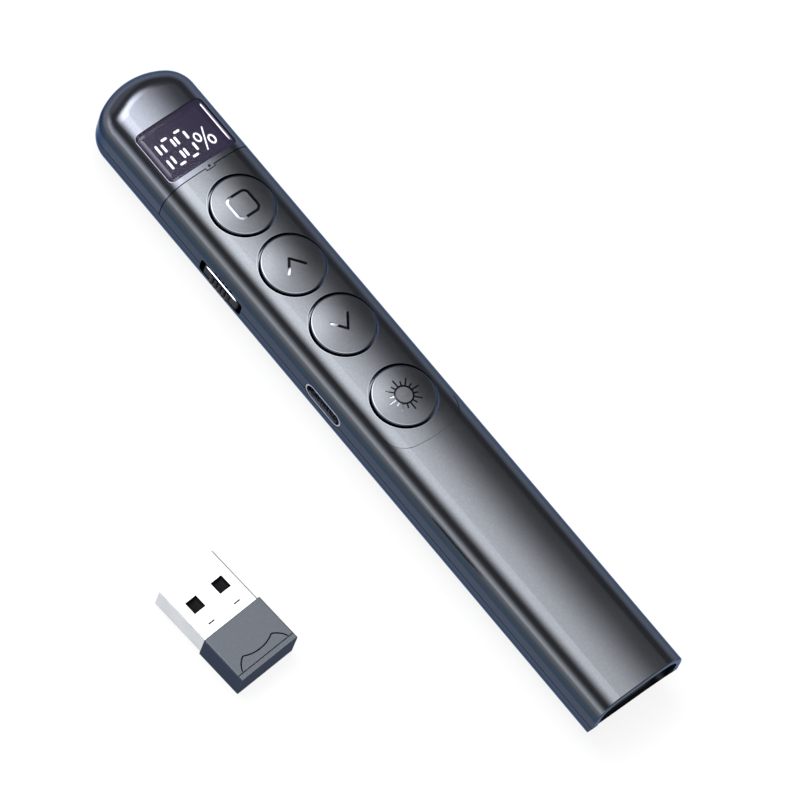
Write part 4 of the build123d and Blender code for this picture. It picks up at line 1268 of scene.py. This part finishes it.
@dataclass
class Keys:
    """Four round keys with bright-cut rims and symbols, each with its plunger, dome and switch; the
    symbols are black on their shaded sides as painted shade and bright metal on their lit left side
    as a painted highlight.
    """

    top: float = 13.9
    crown_radius: float = 60.0
    floor: float = 13.65  # of the engraved symbols
    lip: float = 0.004  # of a cut's lower edge, over the floor
    cut_skirt: float = 0.02
    stroke: float = 0.48
    square_half: float = 2.39
    square_corner: float = 1.19
    square_arc_steps: int = 8
    square_side_steps: int = 6
    square_rise: float = 0.13
    square_glint_rise: float = 0.08
    chevron_half_width: float = 1.8
    chevron_half_height: float = 1.15
    chevron_rises: Tuple[float, ...] = (0.2, 0.2, 0.17, 0.14, 0.12)
    chevron_mitre: float = 1.6  # of the inner corner, in half strokes
    chevron_elbow: float = 0.12
    arm_inset: float = 0.2  # of the narrow end of an arm
    arm_end_share: float = 0.5
    glint_share: float = 0.42
    glint_steps: int = 8
    glint_rises: Pair = (0.06, 0.26)
    ring_radius: float = 1.74
    ring_width: float = 0.3
    ring_rise: float = 0.065
    ring_reach: float = 146.0  # to each side of the right, in degrees
    ring_steps: int = 64
    rays: int = 16
    bright_rays: int = 2  # to each side of the left one
    ray_start: float = 1.76
    tip_start: float = 2.65
    long_ray: float = 3.09
    short_ray: float = 2.49
    ray_half_width: float = 0.13
    ray_drop: float = 0.15
    outward_left_of: float = -0.6
    rim_inner: float = 5.27
    rim_outer: float = 5.4
    rim_rise: float = 0.02
    rim_drop: float = 0.03
    rim_skirt: float = 0.06
    dome_sheet: float = 0.08
    dome_rings: int = 8
    dome_sides: int = 48
    dome_weld: float = 0.0001  # joins the points of a row that has shrunk to its tip
    dome_keep: float = 0.36  # of its height, when the key is down

    def build(self) -> None:
        """Dress the keys and what they press, and cut their symbols."""
        cuts: Dict[str, Callable[[Shape, Shape, float], None]] = {
            "screen": self.cut_square,
            "previous": lambda dark, bright, middle: self.cut_chevron(dark, bright, middle, 1),
            "next": lambda dark, bright, middle: self.cut_chevron(dark, bright, middle, -1),
            "pointer": self.cut_sun,
        }
        for name, middle in KEY_PLACES.items():
            dress({f"{name}_key": KEY_LACQUER, f"{name}_plunger": SOCKET_NYLON})
            self.form_dome(name, middle)
            dark, bright, rim = bmesh.new(), bmesh.new(), bmesh.new()
            cuts[name](dark, bright, middle)
            self.cut_rim(rim, middle)
            # the black symbol piece is painted shade, the glint piece a painted highlight on the lit
            # side
            for suffix, shape, finish in (
                ("symbol", dark, SYMBOL_SHADE_ENAMEL),
                ("symbol_glint", bright, SYMBOL_GLINT_METAL),
                ("key_rim", rim, RIM_METAL),
            ):
                place_piece(f"{name}_{suffix}", shape, finish, f"{name}_button")
        dress({"switch_bases": LINER_ABS, "switch_covers": NICKEL_SHEET})

    def form_dome(self, name: str, middle: float) -> None:
        """Press a key's snap dome from sheet.

        Args:
            name: the key's name.
            middle: the key's place along the handset.
        """
        low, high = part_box(f"{name}_dome")
        reach, height = (high[0] - low[0]) / 2 / MM, (high[2] - low[2]) / MM
        radius = (reach ** 2 + height ** 2) / (2 * height)
        centre = high[2] / MM - radius
        steps = list(range(self.dome_rings + 1))
        rows = []
        for surface, order in ((radius, steps), (radius - self.dome_sheet, steps[::-1])):
            foot = math.sqrt(surface ** 2 - (radius - height) ** 2)
            for out in (foot * step / self.dome_rings for step in order):
                rise = math.sqrt(surface ** 2 - out ** 2)
                points = turned_about(out, full_turn(self.dome_sides), middle)
                rows.append([spot(x, y, centre + rise) for x, y in points])
        shape = bmesh.new()
        add_skin(shape, rows)
        bmesh.ops.remove_doubles(shape, verts=shape.verts, dist=self.dome_weld * MM)
        dome = place_piece(
            f"{name}_snap_dome", shape, NICKEL_SHEET, "handset", smooth=True)
        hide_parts(f"{name}_dome")
        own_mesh(dome)

    def cut_rim(self, shape: Shape, middle: float) -> None:
        """Cut the narrow sloping rim of a key.

        Args:
            shape: the mesh that gets it.
            middle: the key's place along the casing.
        """
        high = self.top - self.rim_inner ** 2 / (2 * self.crown_radius) + self.rim_rise
        inner, outer = [
            [spot(x, y, height) for x, y in turned_about(radius, ROUND, middle)]
            for radius, height in ((self.rim_inner, high), (self.rim_outer, high - self.rim_drop))
        ]
        add_band(shape, outer, inner, self.rim_skirt)

    def cut_square(self, dark: Shape, bright: Shape, middle: float) -> None:
        """Cut the square symbol: sloping sides that meet round the corners, the left one bright as a
        painted highlight and the others black as painted shade.

        Args:
            dark: the mesh that gets the sides in black, painted shade.
            bright: the mesh that gets the left side in bright metal, partly its own reflection and
                partly a painted highlight.
            middle: the key's place along the casing.
        """
        outer_path, inner_path = [
            rounded_path(
                self.square_half - inset, self.square_half - inset, self.square_corner - inset,
                self.square_arc_steps, self.square_side_steps)
            for inset in (0.0, self.stroke)
        ]
        # the bright run goes from the top side's end over both left corners
        quarter = self.square_arc_steps + self.square_side_steps
        first, last = quarter - 1, 2 * quarter + self.square_arc_steps + 1
        runs = (
            (bright, self.square_glint_rise, list(range(first, last + 1))),
            (dark, self.square_rise, list(range(last, 4 * quarter)) + list(range(first + 1))),
        )
        for shape, rise, places in runs:
            outer, inner = [
                [spot(path[place][0], middle + path[place][1], height) for place in places]
                for path, height in (
                    (outer_path, self.floor + self.lip), (inner_path, self.floor + rise))
            ]
            add_band(shape, outer, inner, self.cut_skirt, closed=False)

    def cut_chevron(self, dark: Shape, bright: Shape, middle: float, point: int) -> None:
        """Cut an arrow head, steeper towards its point, with the end of its left arm bright as a
        painted highlight and the rest black as painted shade.

        Args:
            dark: the mesh that gets the part in black, painted shade.
            bright: the mesh that gets the left arm's end in bright metal, partly its own reflection
                and partly a painted highlight.
            middle: the key's place along the casing.
            point: 1 where it points to the nose, -1 where it points to the tail.
        """
        half = self.stroke / 2
        tip = Vector((0.0, point * self.chevron_half_height))
        mitre = Vector((0.0, point * half * self.chevron_mitre))
        feet = {side: Vector((side * self.chevron_half_width, -tip.y)) for side in (-1, 1)}
        arms = {side: (feet[side] - tip).normalized() for side in (-1, 1)}
        left, right = [
            Vector((-arms[side].y, arms[side].x)) * (side * point * half) for side in (-1, 1)
        ]
        narrow = self.arm_end_share
        low, high = self.glint_rises
        stations = [(feet[-1] + arms[-1] * self.arm_inset, left * narrow, left * -narrow, low)]
        for step in range(self.glint_steps + 1):
            share = step / self.glint_steps
            foot = feet[-1].lerp(tip, share * self.glint_share)
            stations.append((foot, left, -left, low + (high - low) * share))
        split = len(stations) - 1
        ends = (
            (tip, left, arms[-1] * self.chevron_elbow - mitre),
            (tip, Vector((0.0, point * half)), -mitre),
            (tip, right, arms[1] * self.chevron_elbow - mitre),
            (feet[1], right, -right),
            (feet[1] + arms[1] * self.arm_inset, right * narrow, right * -narrow),
        )
        stations += [(*end, rise) for end, rise in zip(ends, self.chevron_rises)]
        shift = Vector((0.0, middle))
        outer = [
            spot(*(centre + out + shift), self.floor + self.lip) for centre, out, _, _ in stations
        ]
        inner = [
            spot(*(centre + back + shift), self.floor + rise) for centre, _, back, rise in stations
        ]
        skirt = self.cut_skirt
        add_band(bright, outer[:split + 1], inner[:split + 1], skirt, closed=False)
        add_band(dark, outer[split:], inner[split:], skirt, closed=False)

    def cut_sun(self, dark: Shape, bright: Shape, middle: float) -> None:
        """Cut the pointer's symbol: a ring and its rays, each a small slanting facet.

        Args:
            dark: the mesh that gets the ring and most rays in black, painted shade.
            bright: the mesh that gets the rays on the left in bright metal, partly their own
                reflection and partly a painted highlight.
            middle: the key's place along the casing.
        """
        reach = math.radians(self.ring_reach)
        angles = [reach * (2 * step / self.ring_steps - 1) for step in range(self.ring_steps + 1)]
        outer, inner = [
            [spot(x, y, self.floor + rise) for x, y in turned_about(radius, angles, middle)]
            for radius, rise in (
                (self.ring_radius, self.lip), (self.ring_radius - self.ring_width, self.ring_rise))
        ]
        add_band(dark, outer, inner, self.cut_skirt, closed=False)
        for step, angle in enumerate(full_turn(self.rays)):
            from_left = abs(step - self.rays // 2)
            self.cut_ray(
                bright if from_left <= self.bright_rays else dark, middle, angle,
                self.tip_start if from_left == self.bright_rays else self.ray_start,
                self.short_ray if step % 2 else self.long_ray,
            )

    def cut_ray(self, shape: Shape, middle: float, angle: float, start: float, end: float) -> None:
        """Cut one ray, slanting outwards on the left and to the right elsewhere.

        Args:
            shape: the mesh that gets it.
            middle: the key's place along the casing.
            angle: the ray's direction.
            start: the radius where it starts.
            end: the radius where it ends.
        """
        along = Vector((math.cos(angle), math.sin(angle)))
        beside = Vector((-along.y, along.x)) * self.ray_half_width
        down = along.copy() if along.x < self.outward_left_of else Vector((1.0, 0.0))
        drop = abs(down.dot(along)) * (end - start) + abs(down.dot(beside)) * 2
        sides = [
            [along * reach + offset for reach in (start, end)] for offset in (-beside, beside)
        ]
        lowest = max(corner.dot(down) for side in sides for corner in side)
        outer, inner = [
            [
                spot(
                    corner.x, middle + corner.y,
                    self.floor + self.lip
                    + (lowest - corner.dot(down)) * self.ray_drop / drop)
                for corner in side
            ]
            for side in sides
        ]
        add_band(shape, outer, inner, self.cut_skirt, closed=False)


@dataclass
class SideControls:
    """The ribbed slide knob and the charging socket in the left side."""

    trim_y: Pair = (25.6, 33.4)
    trim_x: Pair = (-9.61, -9.42)
    trim_z: Pair = (7.68, 7.73)
    trim_skirt: float = 0.12
    trim_steps: int = 16
    trim_end_power: int = 16
    trim_narrowing: float = 0.8

    def build(self) -> None:
        """Dress the slide switch and the socket, and put the bright strip on the knob."""
        dress({
            "power_knob": KNOB_NYLON,
            "power_switch_lever": LINER_ABS,
            "power_switch_case": NICKEL_SHEET,
            "usb_port_shell": PORT_STEEL,
            "usb_port_tongue": LIT_TONGUE_LCP,
            "usb_port_contacts": GOLD_FLASH,
        })
        middle_x = sum(self.trim_x) / 2
        edges: List[List[Vector]] = []
        for x, z in zip(self.trim_x, self.trim_z):
            edge = []
            for step in range(self.trim_steps + 1):
                share = step / self.trim_steps
                taper = 1 - self.trim_narrowing * abs(2 * share - 1) ** self.trim_end_power
                y = self.trim_y[0] + (self.trim_y[1] - self.trim_y[0]) * share
                edge.append(spot(middle_x + (x - middle_x) * taper, y, z))
            edges.append(edge)
        shape = bmesh.new()
        add_band(shape, *edges, self.trim_skirt, closed=False)
        place_piece("knob_trim", shape, TRIM_METAL, "switch_knob")


@dataclass
class Electronics:
    """The main board with its chips, and the laser in the nose."""

    def build(self) -> None:
        """Dress the board, its parts and the laser."""
        dress({
            "main_board": BOARD_RESIST,
            "board_screws": ZINC_STEEL,
            "controller_chip": CHIP_EPOXY,
            "radio_chip": CHIP_EPOXY,
            "charge_chip": CHIP_EPOXY,
            "crystal": NICKEL_SHEET,
            "antenna": PART_CERAMIC,
            "board_passives": PART_CERAMIC,
            "laser_barrel": GOLD_FLASH,
            "laser_lens": LASER_GLASS,
            "laser_diode": NICKEL_SHEET,
            "laser_board": BOARD_RESIST,
            "laser_leads": LEAD_PVC,
            "laser_bezel": CHROME_STEEL,
        })


@dataclass
class Battery:
    """The pouch cell, its small board and leads, and the foam pad that holds it down."""

    pad_cells: Tuple[int, int, int] = (18, 36, 8)
    waist: float = 0.35
    corner: float = 0.5
    bow_power: int = 4  # keeps the corners out while the sides are drawn in
    depth_power: int = 3  # lets the sides move and the inside stay

    def build(self) -> None:
        """Dress the cell and model the pad."""
        dress({
            "battery_cell": CELL_FOIL,
            "battery_board": BOARD_RESIST,
            "battery_leads": LEAD_PVC,
            "battery_socket": SOCKET_NYLON,
        })
        self.make_pad()

    def make_pad(self) -> None:
        """Model the foam pad: flat where it is held, drawn in round its waist, soft at its edges."""
        low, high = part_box("battery_foam")
        middle, half = (low + high) / 2, (high - low) / 2
        shape = bmesh.new()
        bmesh.ops.create_cube(shape, size=2.0)
        for axis, cells in enumerate(self.pad_cells):
            along = [
                edge for edge in shape.edges
                if abs(edge.verts[0].co[axis] - edge.verts[1].co[axis]) > 1.0
            ]
            bmesh.ops.subdivide_edges(shape, edges=along, cuts=cells - 1, use_grid_fill=True)
        for vertex in shape.verts:
            vertex.co = middle + self.pressed(vertex.co, half)
        bmesh.ops.recalc_face_normals(shape, faces=shape.faces)
        pad = place_piece("battery_foam_pad", shape, PAD_FOAM, "handset", smooth=True)
        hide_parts("battery_foam")

    def pressed(self, unit: Vector, half: Vector) -> Vector:
        """Move a point of the unit cube to where squeezed foam has it.

        Args:
            unit: the point, from -1 to 1 on each axis.
            half: half of the pad's size, in metres.

        Returns:
            The point, from the pad's middle, in metres.
        """
        corner = self.corner * MM
        point = Vector(unit[axis] * half[axis] for axis in range(3))
        drawn_in = self.waist * MM * (1 - unit.z * unit.z)
        for axis, other in ((0, 1), (1, 0)):
            bowed = drawn_in * (1 - unit[other] ** self.bow_power)
            point[axis] -= math.copysign(bowed, unit[axis]) * abs(unit[axis]) ** self.depth_power
        for pair in ((0, 1), (0, 2), (1, 2)):
            over = [abs(point[axis]) - (half[axis] - corner) for axis in pair]
            reach = math.hypot(*over)
            if min(over) > 0 and reach > corner:
                for axis, beyond in zip(pair, over):
                    point[axis] = math.copysign(
                        half[axis] - corner + beyond * corner / reach, point[axis])
        return point


@dataclass
class TailBay:
    """The black liner of the open tail and the magnet that holds the receiver."""

    def build(self) -> None:
        """Dress the liner and the magnet."""
        dress({"tail_liner": LINER_ABS, "bay_magnet": NICKEL_SHEET})


@dataclass
class Receiver:
    """The small receiver with its bright plug."""

    origin: Pair = (-45.0, -22.6)
    yaw: float = 4.0  # in degrees
    hole_x: float = 2.85
    hole_y: float = 10.25
    tray_half: float = 1.55
    tray_corner: float = 0.25
    tray_corner_steps: int = 4
    tray_top: float = 4.6
    # from the underside over the rim into the dish: the share of the tray's width, and the depth
    tray_sections: Tuple[Pair, ...] = ((1.0, 0.5), (1.0, 0.0), (0.9, 0.0), (0.82, 0.3), (0.3, 0.38))

    def build(self) -> None:
        """Dress the cap, the plug and what is inside, and put a black tray under each hole of the
        plug as painted shade.
        """
        dress({
            "receiver_cap": CAP_LACQUER,
            "receiver_plug_shell": CHROME_STEEL,
            "receiver_tongue": LINER_ABS,
            "receiver_contacts": GOLD_FLASH,
            "receiver_board": BOARD_RESIST,
            "receiver_chip": CHIP_EPOXY,
        })
        shape = bmesh.new()
        for side in (-1, 1):
            self.add_tray(shape, side * self.hole_x)
        place_piece("plug_hole_shade_trays", shape, HOLE_SHADE_NYLON, "receiver", smooth=True)

    def placed(self, x: float, y: float, z: float) -> Vector:
        """Return a point that is given from the receiver's own middle."""
        turn = math.radians(self.yaw)
        return spot(
            self.origin[0] + x * math.cos(turn) - y * math.sin(turn),
            self.origin[1] + x * math.sin(turn) + y * math.cos(turn), z,
        )

    def add_tray(self, shape: Shape, middle: float) -> None:
        """Add a shallow dished black tray under one hole of the plug, painted shade in the hole.

        Args:
            shape: the mesh that gets it.
            middle: the hole's place across the plug.
        """
        rows = []
        for share, depth in self.tray_sections:
            half = self.tray_half * share
            path = rounded_path(half, half, self.tray_corner * share, self.tray_corner_steps)
            height = self.tray_top - depth
            rows.append([self.placed(middle + x, self.hole_y + y, height) for x, y in path])
        add_skin(shape, rows)


def main() -> None:
    """Build the studio and every sub-assembly in order."""
    logging.basicConfig(level=logging.INFO, format="%(name)s %(message)s")
    assemblies = (
        Studio(), Casing(), Display(), Keys(), SideControls(), Electronics(), Battery(),
        TailBay(), Receiver(),
    )
    for assembly in assemblies:
        LOG.info("building %s", type(assembly).__name__)
        assembly.build()


if __name__ == "__main__":
    main()
